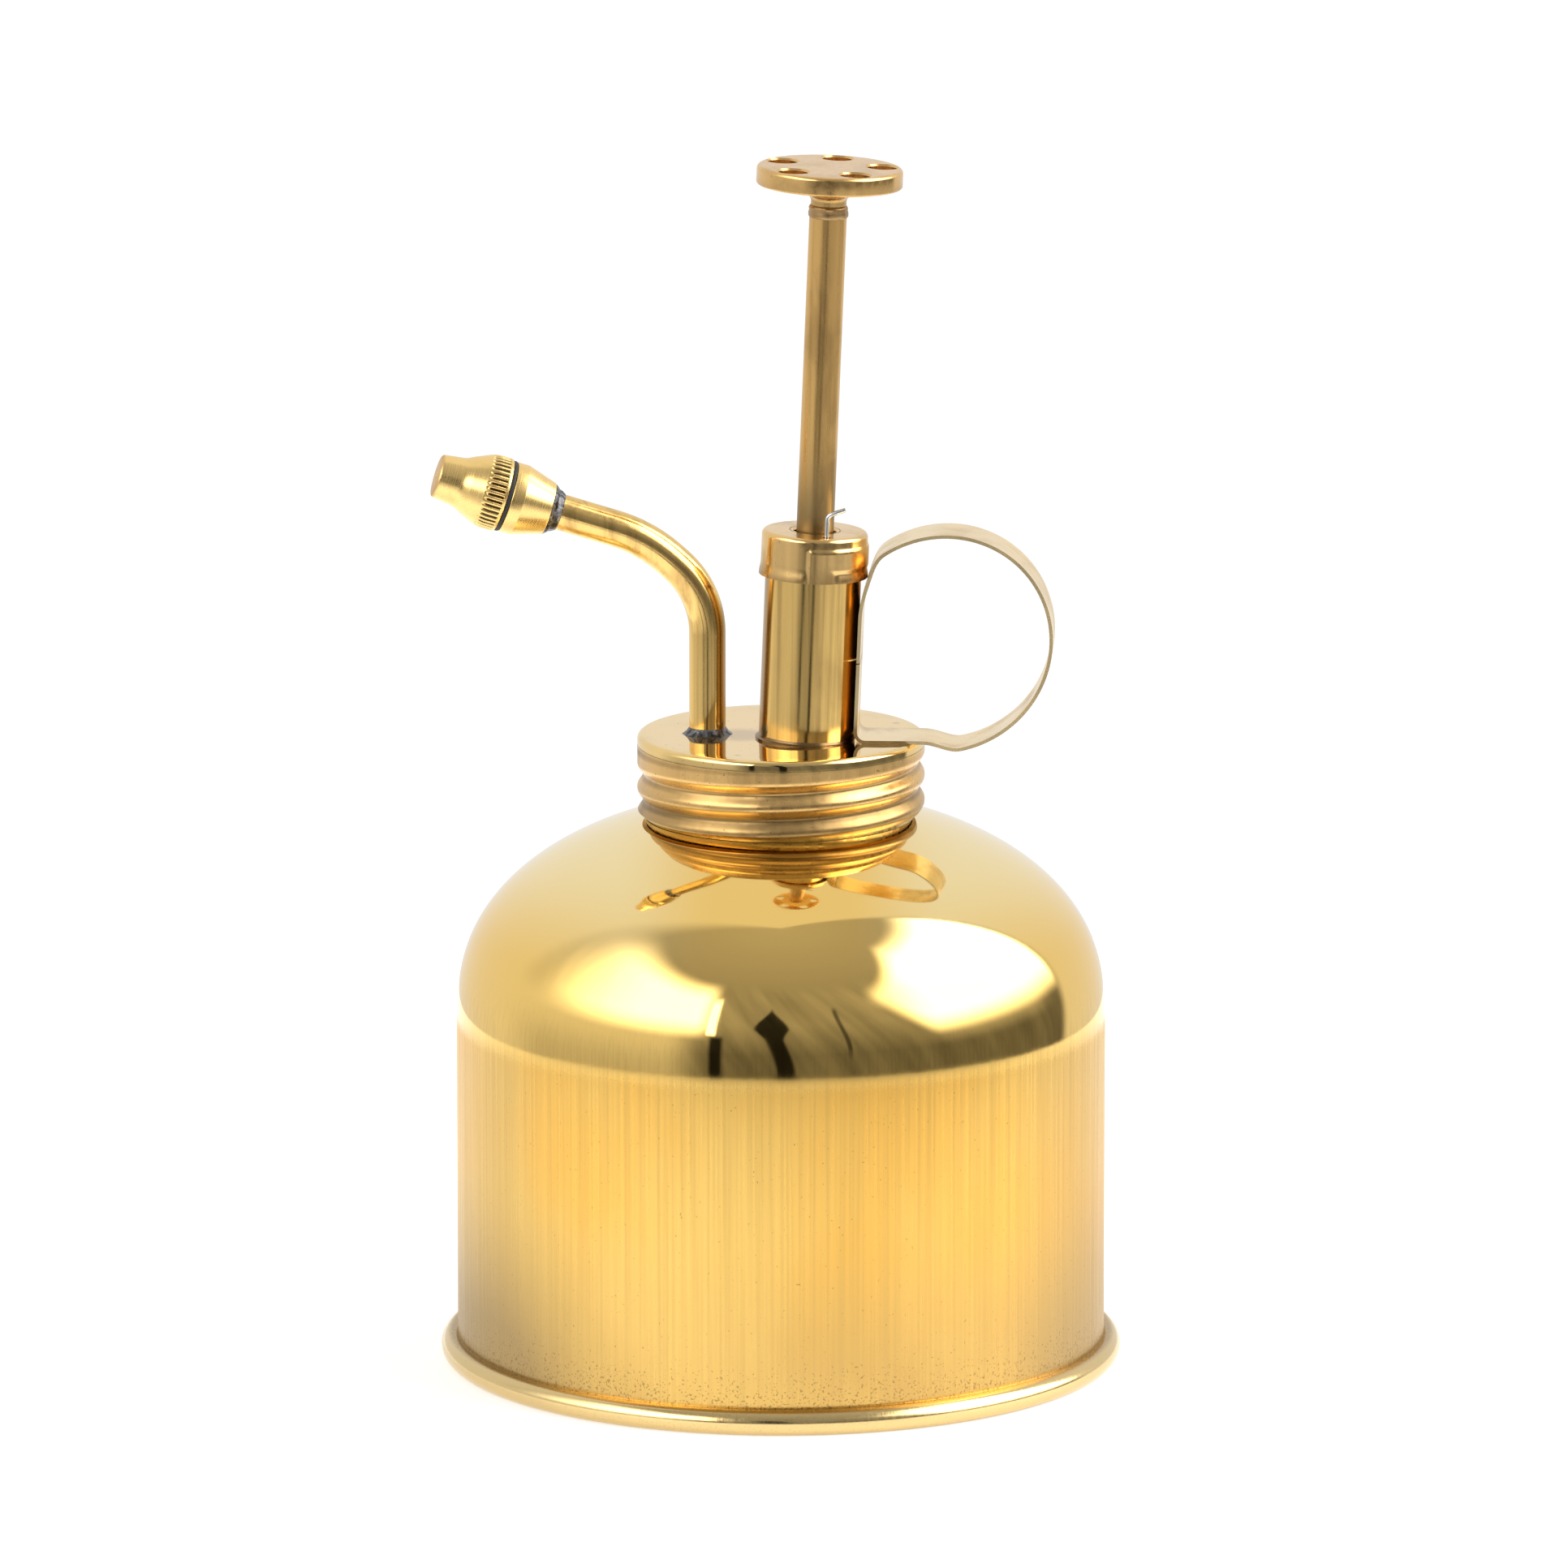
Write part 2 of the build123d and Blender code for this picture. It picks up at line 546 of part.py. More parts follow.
# ---------------------------------------------------------------- plunger
def knob_disc():
    body = disc(KNOB_RADIUS, KNOB_UNDER_Z, KNOB_TOP_Z)
    body = fillet(body.edges().group_by(Axis.Z)[-1], 0.55)
    body = fillet(body.edges().group_by(Axis.Z)[0], 0.3)
    body -= knob_holes(KNOB_UNDER_Z - 1, KNOB_TOP_Z + 1)
    return PUMP * (body - disc(1.5, KNOB_UNDER_Z - 1, KNOB_TOP_Z - 1.0))


def knob_holes(low, high):
    holes = Part()
    for i in range(KNOB_HOLES):
        angle = radians(KNOB_HOLE_START + 360 * i / KNOB_HOLES)
        place = Pos(KNOB_HOLE_CIRCLE * cos(angle), KNOB_HOLE_CIRCLE * sin(angle), 0)
        holes += place * disc(KNOB_HOLE_RADIUS, low, high)
    return holes


def knob_dish():
    """Shallow cone under the disc, ending in a short neck round the rod's spigot."""
    outline = [
        (1.5, KNOB_UNDER_Z - 2.6), (2.33, KNOB_UNDER_Z - 2.6), (2.33, KNOB_UNDER_Z - 1.5),
        (DISH_RADIUS, KNOB_UNDER_Z), (1.5, KNOB_UNDER_Z),
    ]
    return PUMP * turned(outline)


def knob_braze():
    """Uneven ring of brazing where the knob's neck meets the rod."""
    low = COLLAR_Z
    outline = [
        (1.5, low), (2.5, low), (2.6, low + 0.25), (2.55, low + 0.8), (2.62, low + 1.2),
        (2.45, low + 1.55), (2.33, low + 1.6), (1.5, low + 1.6),
    ]
    return PUMP * turned(outline)


def plunger_rod():
    body = disc(ROD_RADIUS, ROD_SHOULDER_Z, COLLAR_Z)
    body += disc(1.5, COLLAR_Z, KNOB_TOP_Z - 1.0)
    body += disc(ROD_SPIGOT_RADIUS, ROD_END_Z, ROD_SHOULDER_Z)
    return PUMP * (body - spring_anchor_hole())


def spring_anchor_hole():
    angle = radians(COIL_END_ANGLE)
    way = Vector(cos(angle), sin(angle), 0)
    lift = Vector(0, 0, COIL_BOTTOM_Z)
    return rod_between(way * -0.2 + lift, way * 4 + lift, WIRE_RADIUS + ANCHOR_PLAY)


def piston_backing():
    return PUMP * tube(5.5, ROD_SPIGOT_RADIUS + 0.02, 9.0, ROD_SHOULDER_Z)


def piston_cup():
    """Leather cup washer, open downwards, that seals in the bore."""
    outline = [
        (ROD_SPIGOT_RADIUS + 0.02, 7.8), (4.7, 7.8), (5.0, 7.5), (5.25, 4.7), (CUP_RADIUS, 4.5),
        (CUP_RADIUS, 8.5), (5.4, 9.0), (ROD_SPIGOT_RADIUS + 0.02, 9.0),
    ]
    return PUMP * turned(outline)


def piston_spreader():
    return PUMP * tube(4.5, ROD_SPIGOT_RADIUS + 0.02, 6.3, 7.8)


def piston_nut():
    hexagon = extrude(RegularPolygon(3.5, 6, major_radius=False), 3.0)
    body = Pos(0, 0, 3.3) * hexagon
    return PUMP * (body - disc(ROD_SPIGOT_RADIUS + 0.02, 0, 10))


# ---------------------------------------------------------------- return spring
def return_spring():
    """Extension spring; its top end comes out through the barrel cap and is bent over."""
    path = Helix(COIL_HEIGHT / COIL_TURNS, COIL_HEIGHT, COIL_RADIUS)
    coil = sweep(Plane(path @ 0, z_dir=path % 0) * Circle(WIRE_RADIUS), path, is_frenet=True)
    coil = Pos(0, 0, COIL_BOTTOM_Z) * Rot(0, 0, COIL_END_ANGLE) * coil
    low_end = radians(COIL_END_ANGLE)
    inner = Vector(0.6 * cos(low_end), 0.6 * sin(low_end), COIL_BOTTOM_Z)
    outer = Vector(COIL_RADIUS * cos(low_end), COIL_RADIUS * sin(low_end), COIL_BOTTOM_Z)
    anchor = rod_between(inner, outer, WIRE_RADIUS) + Pos(*outer) * Sphere(WIRE_RADIUS)
    top_end = radians(HOOK_ANGLE)
    x = COIL_RADIUS * cos(top_end)
    y = COIL_RADIUS * sin(top_end)
    bend_z = CAP_ROOF_Z + CAP_SKIN + HOOK_RISE - HOOK_LIFT
    hook_path = FilletPolyline(
        (x, y, COIL_TOP_Z), (x, y, bend_z), (x + HOOK_RUN, y, bend_z + HOOK_LIFT), radius=HOOK_BEND
    )
    hook = sweep(Plane(hook_path @ 0, z_dir=hook_path % 0) * Circle(WIRE_RADIUS), hook_path)
    elbow = Pos(x, y, COIL_TOP_Z) * Sphere(WIRE_RADIUS)
    return PUMP * (coil + anchor + elbow + hook)


save(reservoir_shell(), "reservoir_shell")
save(bead_wire(), "bead_wire")
save(base_plate(), "base_plate")
save(neck_collar(), "neck_collar")
save(lid_gasket(), "lid_gasket")
save(lid_cap(), "lid_cap")
save(pump_barrel(), "pump_barrel")
save(bayonet_pin(), "bayonet_pin")
save(barrel_cap(), "barrel_cap")
save(pump_foot(), "pump_foot")
save(PUMP * intake_pin_bar(), "intake_stop_pin")
save(intake_ball(), "intake_ball")
save(dip_tube(), "dip_tube")
save(spout_tube(), "spout_tube")
save(outlet_valve_body(), "outlet_valve_body")
save(outlet_pin_bar(), "outlet_stop_pin")
save(outlet_ball(), "outlet_ball")
save(finger_loop(), "finger_loop")
save(solder_spout(), "solder_spout")
save(solder_barrel(), "solder_barrel")
save(solder_nozzle(), "solder_nozzle")
save(nozzle_base(), "nozzle_base")
save(nozzle_seal(), "nozzle_seal")
save(nozzle_cap(), "nozzle_cap")
save(swirl_core(), "swirl_core")
save(knob_disc(), "knob_disc")
save(knob_dish(), "knob_dish")
save(knob_braze(), "knob_braze")
save(plunger_rod(), "plunger_rod")
save(piston_backing(), "piston_backing")
save(piston_cup(), "piston_cup")
save(piston_spreader(), "piston_spreader")
save(piston_nut(), "piston_nut")
save(return_spring(), "return_spring")
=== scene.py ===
"""Looks of the brass pump sprayer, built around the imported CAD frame.

Lengths in outlines are millimetres, turned into metres when a mesh is made. The pump and the
nozzle are drawn in their own frames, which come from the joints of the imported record.
"""
import json
import math

import bmesh
import bpy
from mathutils import Matrix, Vector, noise


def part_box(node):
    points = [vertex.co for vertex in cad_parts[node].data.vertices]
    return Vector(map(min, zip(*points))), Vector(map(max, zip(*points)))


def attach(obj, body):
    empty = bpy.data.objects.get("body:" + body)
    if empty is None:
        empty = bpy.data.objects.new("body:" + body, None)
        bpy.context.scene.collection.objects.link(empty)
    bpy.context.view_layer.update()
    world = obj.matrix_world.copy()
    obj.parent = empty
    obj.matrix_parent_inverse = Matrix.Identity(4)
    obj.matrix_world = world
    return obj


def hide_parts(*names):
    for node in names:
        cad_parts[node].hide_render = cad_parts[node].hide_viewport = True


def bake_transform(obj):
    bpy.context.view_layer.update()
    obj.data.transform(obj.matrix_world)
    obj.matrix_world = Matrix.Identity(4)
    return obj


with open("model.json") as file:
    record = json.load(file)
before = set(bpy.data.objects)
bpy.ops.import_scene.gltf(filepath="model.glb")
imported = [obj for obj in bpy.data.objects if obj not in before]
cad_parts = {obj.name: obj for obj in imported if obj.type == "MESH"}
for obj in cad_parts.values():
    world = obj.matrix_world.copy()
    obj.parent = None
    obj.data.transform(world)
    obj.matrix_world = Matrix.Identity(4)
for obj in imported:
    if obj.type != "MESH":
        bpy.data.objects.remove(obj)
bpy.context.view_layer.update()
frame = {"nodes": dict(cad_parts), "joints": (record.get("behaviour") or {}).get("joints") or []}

MM = 0.001


# ------------------------------------------------------------------ frames from the record
def joint(name):
    """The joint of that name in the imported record."""
    return next(j for j in frame["joints"] if j["name"] == name)


def upright_frame(origin, z_axis, x_hint):
    """Matrix whose z runs along z_axis and whose x lies as near x_hint as it can."""
    z = Vector(z_axis).normalized()
    x = Vector(x_hint)
    x = (x - z * x.dot(z)).normalized()
    y = z.cross(x)
    m = Matrix((x, y, z)).transposed().to_4x4()
    m.translation = Vector(origin)
    return m


PUMP = upright_frame(joint("barrel_cap_twist")["pos_m"], joint("barrel_cap_twist")["axis"], (1, 0, 0))
NOZZLE_TIP = Vector(joint("nozzle_turn")["pos_m"])
NOZZLE_OUT = Vector(joint("nozzle_turn")["axis"]).normalized()
NOZZLE = upright_frame(NOZZLE_TIP, -NOZZLE_OUT, (0, 0, 1))
UP = Vector((0, 0, 1))
FRONT = 270  # degrees round the upright axis, where the camera stands
PUMP_AXIS = PUMP.to_3x3() @ UP
CAP_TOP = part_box("lid_cap")[1].z / MM
CAP_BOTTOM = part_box("lid_cap")[0].z / MM
FOOT_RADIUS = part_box("reservoir_shell")[1].x / MM

# Sizes in mm that shapes and materials share; heights on the pump are along its own axis.
THREAD_PITCH = 3.4
THREAD_FRONT_Z = 79.3  # middle of a groove at the front
CAP_SIDE_DROP = 0.9
BARREL_RADIUS = 6.3
SPOUT_RADIUS = 2.4
SKIRT_FOOT = 21.8
KNOB_UNDER = 73.4
KNURL_LOW, KNURL_HIGH = 6.15, 8.85


def on_pump(z):
    """Point on the pump's axis, from its height in mm."""
    return PUMP @ Vector((0, 0, z * MM))


# ------------------------------------------------------------------ mesh helpers
SHARP_DEGREES = 40
ON_AXIS = 1e-6


def smoothstep(low, high, value):
    t = min(1.0, max(0.0, (value - low) / (high - low)))
    return t * t * (3 - 2 * t)


def rounded(corners, steps=6):
    """Outline through (x, y, radius) corners, each turned by an arc of that radius."""
    points = []
    last = len(corners) - 1
    for i, (x, y, radius) in enumerate(corners):
        if radius <= 0 or i in (0, last):
            points.append((x, y))
            continue
        here = Vector((x, y))
        a = Vector(corners[i - 1][:2]) - here
        b = Vector(corners[i + 1][:2]) - here
        half = a.angle(b) / 2
        reach = min(radius / math.tan(half), 0.49 * a.length, 0.49 * b.length)
        true_radius = reach * math.tan(half)
        a.normalize()
        b.normalize()
        centre = here + (a + b).normalized() * (true_radius / math.sin(half))
        start = here + a * reach - centre
        end = here + b * reach - centre
        sweep = start.angle_signed(end)
        for k in range(steps + 1):
            turned = Matrix.Rotation(-sweep * k / steps, 2) @ start
            points.append(tuple(centre + turned))
    return points


def smooth_faces(bm):
    """Smooth faces, and sharp edges where the surface really turns."""
    for face in bm.faces:
        face.smooth = True
    for edge in bm.edges:
        if len(edge.link_faces) == 2:
            edge.smooth = edge.calc_face_angle(0) < math.radians(SHARP_DEGREES)


def finished_mesh(name, bm):
    """Object from a bmesh, with its faces turned outwards and smoothed."""
    bmesh.ops.recalc_face_normals(bm, faces=bm.faces)
    smooth_faces(bm)
    mesh = bpy.data.meshes.new(name)
    bm.to_mesh(mesh)
    bm.free()
    obj = bpy.data.objects.new(name, mesh)
    bpy.context.scene.collection.objects.link(obj)
    return obj


def grid_faces(bm, rings, close_rows):
    """Quads between rings of vertices; each ring is closed on itself."""
    count = len(rings)
    for i in range(count if close_rows else count - 1):
        a = rings[i]
        b = rings[(i + 1) % count]
        n = max(len(a), len(b))
        for k in range(n):
            quad = [a[k % len(a)], a[(k + 1) % len(a)], b[(k + 1) % len(b)], b[k % len(b)]]
            unique = list(dict.fromkeys(quad))
            if len(unique) > 2:
                bm.faces.new(unique)


def lathe(name, outline, place=Matrix.Identity(4), segments=160, shape=None):
    """Turned solid from (radius, height) points in mm. shape(angle, r, z) may move a point."""
    bm = bmesh.new()
    rings = []
    for r, z in outline:
        ring = []
        if r < ON_AXIS:
            ring.append(bm.verts.new(place @ Vector((0, 0, z * MM))))
            rings.append(ring)
            continue
        for k in range(segments):
            angle = 2 * math.pi * k / segments
            pr, pz = (r, z) if shape is None else shape(angle, r, z)
            local = Vector((pr * math.cos(angle), pr * math.sin(angle), pz)) * MM
            ring.append(bm.verts.new(place @ local))
        rings.append(ring)
    grid_faces(bm, rings, outline[0][0] > ON_AXIS)
    return finished_mesh(name, bm)


def circle(radius, count):
    angles = [2 * math.pi * k / count for k in range(count)]
    return [(radius * math.cos(angle), radius * math.sin(angle)) for angle in angles]


def cut(obj, cutter):
    """Takes the cutter out of a solid and removes the cutter."""
    modifier = obj.modifiers.new("cut", "BOOLEAN")
    modifier.operation = "DIFFERENCE"
    modifier.solver = "EXACT"
    modifier.object = cutter
    bpy.context.view_layer.update()
    evaluated = obj.evaluated_get(bpy.context.evaluated_depsgraph_get())
    mesh = bpy.data.meshes.new_from_object(evaluated)
    obj.modifiers.clear()
    obj.data = mesh
    bpy.data.objects.remove(cutter)
    bm = bmesh.new()
    bm.from_mesh(mesh)
    bmesh.ops.dissolve_degenerate(bm, dist=1e-7, edges=bm.edges)
    smooth_faces(bm)
    bm.to_mesh(mesh)
    bm.free()


def bar(radius, low, high, place, segments=64):
    """Plain round cutter in a frame, radius and heights in mm."""
    return lathe("cutter", [(0, low), (radius, low), (radius, high), (0, high)], place, segments)


# ------------------------------------------------------------------ materials
class Tree:
    """Short way to write a node tree."""

    def __init__(self, owner):
        owner.use_nodes = True
        self.tree = owner.node_tree
        self.tree.nodes.clear()

    def add(self, kind, **values):
        """New node with some of its properties set."""
        node = self.tree.nodes.new(kind)
        for key, value in values.items():
            setattr(node, key, value)
        return node

    def put(self, socket, value):
        """Links a socket to value, or sets value on it."""
        if isinstance(value, bpy.types.NodeSocket):
            self.tree.links.new(value, socket)
        else:
            socket.default_value = value

    def math(self, operation, a, b=0.0, clamp=False):
        node = self.add("ShaderNodeMath", operation=operation, use_clamp=clamp)
        self.put(node.inputs[0], a)
        self.put(node.inputs[1], b)
        return node.outputs[0]

    def plus(self, a, b, clamp=False):
        return self.math("ADD", a, b, clamp)

    def minus(self, a, b):
        return self.math("SUBTRACT", a, b)

    def times(self, a, b):
        return self.math("MULTIPLY", a, b)

    def ramp(self, value, low, high, out_low=0.0, out_high=1.0):
        """Smooth step of value from low to high, given out as out_low to out_high."""
        node = self.add("ShaderNodeMapRange", interpolation_type="SMOOTHSTEP")
        self.put(node.inputs["Value"], value)
        node.inputs["From Min"].default_value = low
        node.inputs["From Max"].default_value = high
        node.inputs["To Min"].default_value = out_low
        node.inputs["To Max"].default_value = out_high
        return node.outputs[0]

    def blend(self, factor, a, b):
        node = self.add("ShaderNodeMix", data_type="FLOAT")
        self.put(node.inputs[0], factor)
        self.put(node.inputs[2], a)
        self.put(node.inputs[3], b)
        return node.outputs[0]

    def vector(self, operation, a, b=None):
        """Vector maths on a socket and, where it takes two, a constant."""
        node = self.add("ShaderNodeVectorMath", operation=operation)
        self.put(node.inputs[0], a)
        if b is not None:
            node.inputs[1].default_value = b
        scalar = operation in ("DOT_PRODUCT", "DISTANCE", "LENGTH")
        return node.outputs["Value" if scalar else "Vector"]

    def split(self, vector):
        node = self.add("ShaderNodeSeparateXYZ")
        self.put(node.inputs[0], vector)
        return node.outputs

    def curve(self, value, points):
        """Value through a smooth curve given by (input, output) pairs, inputs from 0 to 1."""
        node = self.add("ShaderNodeValToRGB")
        self.put(node.inputs[0], value)
        stops = node.color_ramp.elements
        for k, (at, level) in enumerate(points):
            stop = stops[k] if k < 2 else stops.new(at)
            stop.position = at
            stop.color = (level, level, level, 1)
        return node.outputs[0]


class Nodes(Tree):
    """Node tree of a material, with its shader and the object-space position ready."""

    def __init__(self, name):
        self.material = bpy.data.materials.new(name)
        super().__init__(self.material)
        self.shader = self.add("ShaderNodeBsdfPrincipled")
        output = self.add("ShaderNodeOutputMaterial")
        self.tree.links.new(self.shader.outputs[0], output.inputs["Surface"])
        self.place = self.add("ShaderNodeTexCoord").outputs["Object"]

    def stretched(self, scale):
        node = self.add("ShaderNodeMapping")
        self.put(node.inputs["Vector"], self.place)
        node.inputs["Scale"].default_value = scale
        return node.outputs[0]

    def noise(self, scale, detail=3.0, stretch=None, distortion=0.0):
        """Noise in object space; stretch scales its three axes apart."""
        node = self.add("ShaderNodeTexNoise")
        self.put(node.inputs["Vector"], self.stretched(stretch) if stretch else self.place)
        node.inputs["Scale"].default_value = scale
        node.inputs["Detail"].default_value = detail
        node.inputs["Distortion"].default_value = distortion
        return node.outputs["Fac"]

    def mix(self, factor, a, b):
        node = self.add("ShaderNodeMix", data_type="RGBA")
        self.put(node.inputs[0], factor)
        self.put(node.inputs[6], a)
        self.put(node.inputs[7], b)
        return node.outputs[2]

    def along(self, origin, axis):
        """Distance from a point along an axis, in metres."""
        return self.vector("DOT_PRODUCT", self.vector("SUBTRACT", self.place, origin), axis)

    def bump(self, height, strength, distance):
        node = self.add("ShaderNodeBump")
        self.put(node.inputs["Height"], height)
        node.inputs["Strength"].default_value = strength
        node.inputs["Distance"].default_value = distance
        return node.outputs[0]

    def finish(self, colour, roughness, metallic, normal=None):
        self.put(self.shader.inputs["Base Color"], colour)
        self.put(self.shader.inputs["Roughness"], roughness)
        self.shader.inputs["Metallic"].default_value = metallic
        if normal is not None:
            self.tree.links.new(normal, self.shader.inputs["Normal"])
        return self.material


# Base colours, linear.
WALL_GOLD = (0.78, 0.50, 0.135, 1)
WALL_AMBER = (0.80, 0.455, 0.095, 1)
DOME_GOLD = (0.91, 0.61, 0.185, 1)
# Paler dome colour: painted highlight.
DOME_PAINTED_HIGHLIGHT = (0.95, 0.765, 0.39, 1)
HAIR_BROWN = (0.58, 0.38, 0.11, 1)
# Colour of the painted shade at the wall's foot and sides.
WALL_SHADE_BROWN = (0.42, 0.29, 0.12, 1)
SPECK_BROWN = (0.20, 0.12, 0.045, 1)
BEAD_PALE = (0.80, 0.60, 0.28, 1)
CAP_TOP_GOLD = (0.92, 0.65, 0.26, 1)
CAP_SIDE_GOLD = (0.76, 0.48, 0.18, 1)
# Colour of the cap's tarnish and painted shade.
CAP_TARNISH_AND_SHADE = (0.27, 0.17, 0.065, 1)
CAP_STAIN = (0.42, 0.27, 0.12, 1)
CAP_PIT = (0.10, 0.06, 0.03, 1)
TUBE_GOLD = (0.93, 0.62, 0.21, 1)
# Colour of the tubes' tarnish and painted shade.
TUBE_TARNISH_AND_SHADE = (0.30, 0.17, 0.06, 1)
ROD_GOLD = (0.70, 0.43, 0.15, 1)
ROD_BROWN = (0.35, 0.21, 0.075, 1)
ROD_OLIVE = (0.17, 0.13, 0.065, 1)
NOZZLE_GOLD = (0.97, 0.67, 0.25, 1)
NOZZLE_TARNISH = (0.42, 0.26, 0.09, 1)
NOZZLE_TIP_BROWN = (0.42, 0.24, 0.12, 1)
KNURL_GROOVE_DARK = (0.14, 0.08, 0.03, 1)

# Depth of the fine relief of all brass, in metres.
RELIEF = 0.00003


def tank_brass():
    """Spun tank: mirror polish on the shoulder, fine upright brushing on the wall, pale bead."""
    n = Nodes("tank_brass")
    x, _, z = n.split(n.place)
    off_centre = n.math("ABSOLUTE", x)
    brushed = n.ramp(z, 0.0483, 0.0448)
    fine = n.noise(1.0, 2.0, (2600, 2600, 18))
    medium = n.noise(1.0, 3.0, (620, 620, 7))
    blotch = n.noise(34, 4.0, (1, 1, 0.6))

    wall = n.mix(n.ramp(blotch, 0.40, 0.66), WALL_GOLD, WALL_AMBER)
    # Painted highlight: the upper dome is paler off its middle, where it reflects bright light.
    painted_highlight = n.times(n.ramp(z, 0.057, 0.070), n.ramp(off_centre, 0.008, 0.022))
    undarkened = n.mix(brushed, n.mix(painted_highlight, DOME_GOLD, DOME_PAINTED_HIGHLIGHT), wall)
    hairs = n.times(n.ramp(fine, 0.40, 0.72, 0.0, 0.30), n.ramp(z, 0.056, 0.046))
    bands = n.times(brushed, n.ramp(medium, 0.4, 0.75, 0.0, 0.08))
    streaked = n.mix(n.plus(hairs, bands), undarkened, HAIR_BROWN)

    # Painted shade: darker towards the foot, most of all on the left, where the wall reflects the
    # floor's shadow, and on both sides of the wall; uneven near the foot.
    near_foot = n.ramp(z, 0.030, 0.003)
    foot = n.times(near_foot, n.ramp(blotch, 0.35, 0.65, 0.25, 0.60))
    left_foot_shade = n.times(near_foot, n.ramp(x, -0.018, -0.036, 0.0, 0.55))
    side_shade = n.times(n.ramp(off_centre, 0.027, 0.038, 0.0, 0.32), n.ramp(z, 0.050, 0.042))
    # Mask of the painted shade.
    tarnish = n.plus(n.plus(foot, left_foot_shade), side_shade, True)
    darkened_colour = n.mix(tarnish, streaked, WALL_SHADE_BROWN)

    more_specks = n.times(n.ramp(z, 0.012, 0.0035), 0.13)
    specks = n.ramp(n.plus(n.noise(3200, 1.5), more_specks), 0.70, 0.78)
    spotted = n.mix(n.times(specks, n.times(brushed, 0.6)), darkened_colour, SPECK_BROWN)
    bead = n.ramp(z, 0.0034, 0.0030)
    colour = n.mix(n.times(bead, 0.8), spotted, BEAD_PALE)

    rough_dome = n.ramp(medium, 0.3, 0.7, 0.035, 0.065)
    rough_wall = n.ramp(fine, 0.25, 0.75, 0.26, 0.36)
    rough = n.minus(n.blend(brushed, rough_dome, rough_wall), n.times(bead, 0.14))
    ripple = n.plus(n.times(fine, 0.75), n.times(medium, 0.25))
    normal = n.bump(n.times(ripple, n.ramp(z, 0.050, 0.043, 0.03, 1.0)), 0.20, RELIEF)
    tangent = n.add("ShaderNodeTangent", direction_type="RADIAL", axis="Z")
    n.put(n.shader.inputs["Tangent"], tangent.outputs[0])
    wall_only = n.times(brushed, n.ramp(z, 0.0030, 0.0036))
    n.put(n.shader.inputs["Anisotropic"], n.times(wall_only, 0.75))
    return n.finish(colour, rough, 1.0, normal)


def small_brass(name, bright, dark, smooth, rough, dirt, scratch=(900, 900, 40), painted_shade=None,
                pitted=0.4, relief=0.15):
    """Polished brass of the small parts, with blotches of tarnish and fine scratches.

    smooth and rough are the ends of its roughness, dirt is the strength of the blotches.
    The painted shade argument is (origin, axis, start, end): along the axis, painted shade
    darkens the colour from start to end.
    """
    n = Nodes(name)
    blotch = n.noise(150, 4.0, None, 0.4)
    fine = n.noise(1.0, 2.0, scratch)
    pits = n.ramp(n.noise(2100, 1.0), 0.72, 0.78)
    dull = n.ramp(blotch, 0.45, 0.75, 0.0, dirt)
    # Painted shade: the colour darkens along the axis.
    if painted_shade:
        origin, axis, undarkened, darkened = painted_shade
        along = n.plus(n.along(origin, axis), n.times(blotch, 0.001))
        dull = n.plus(dull, n.ramp(along, undarkened, darkened, 0.0, 0.55), True)
    colour = n.mix(n.times(pits, pitted), n.mix(dull, bright, dark), dark)
    roughness = n.plus(n.ramp(fine, 0.3, 0.7, smooth, rough), n.times(dull, 0.15))
    normal = n.bump(n.plus(n.times(fine, 0.35), blotch), relief, RELIEF)
    return n.finish(colour, roughness, 1.0, normal)


# Marks on the cap's top: x, y and size in mm.
CAP_SPECKS = ((-5.7, -14.4, 0.9), (15.2, 6.2, 1.1))
CAP_STAIN_AT = (-5.2 * MM, -1.4 * MM, CAP_TOP * MM)


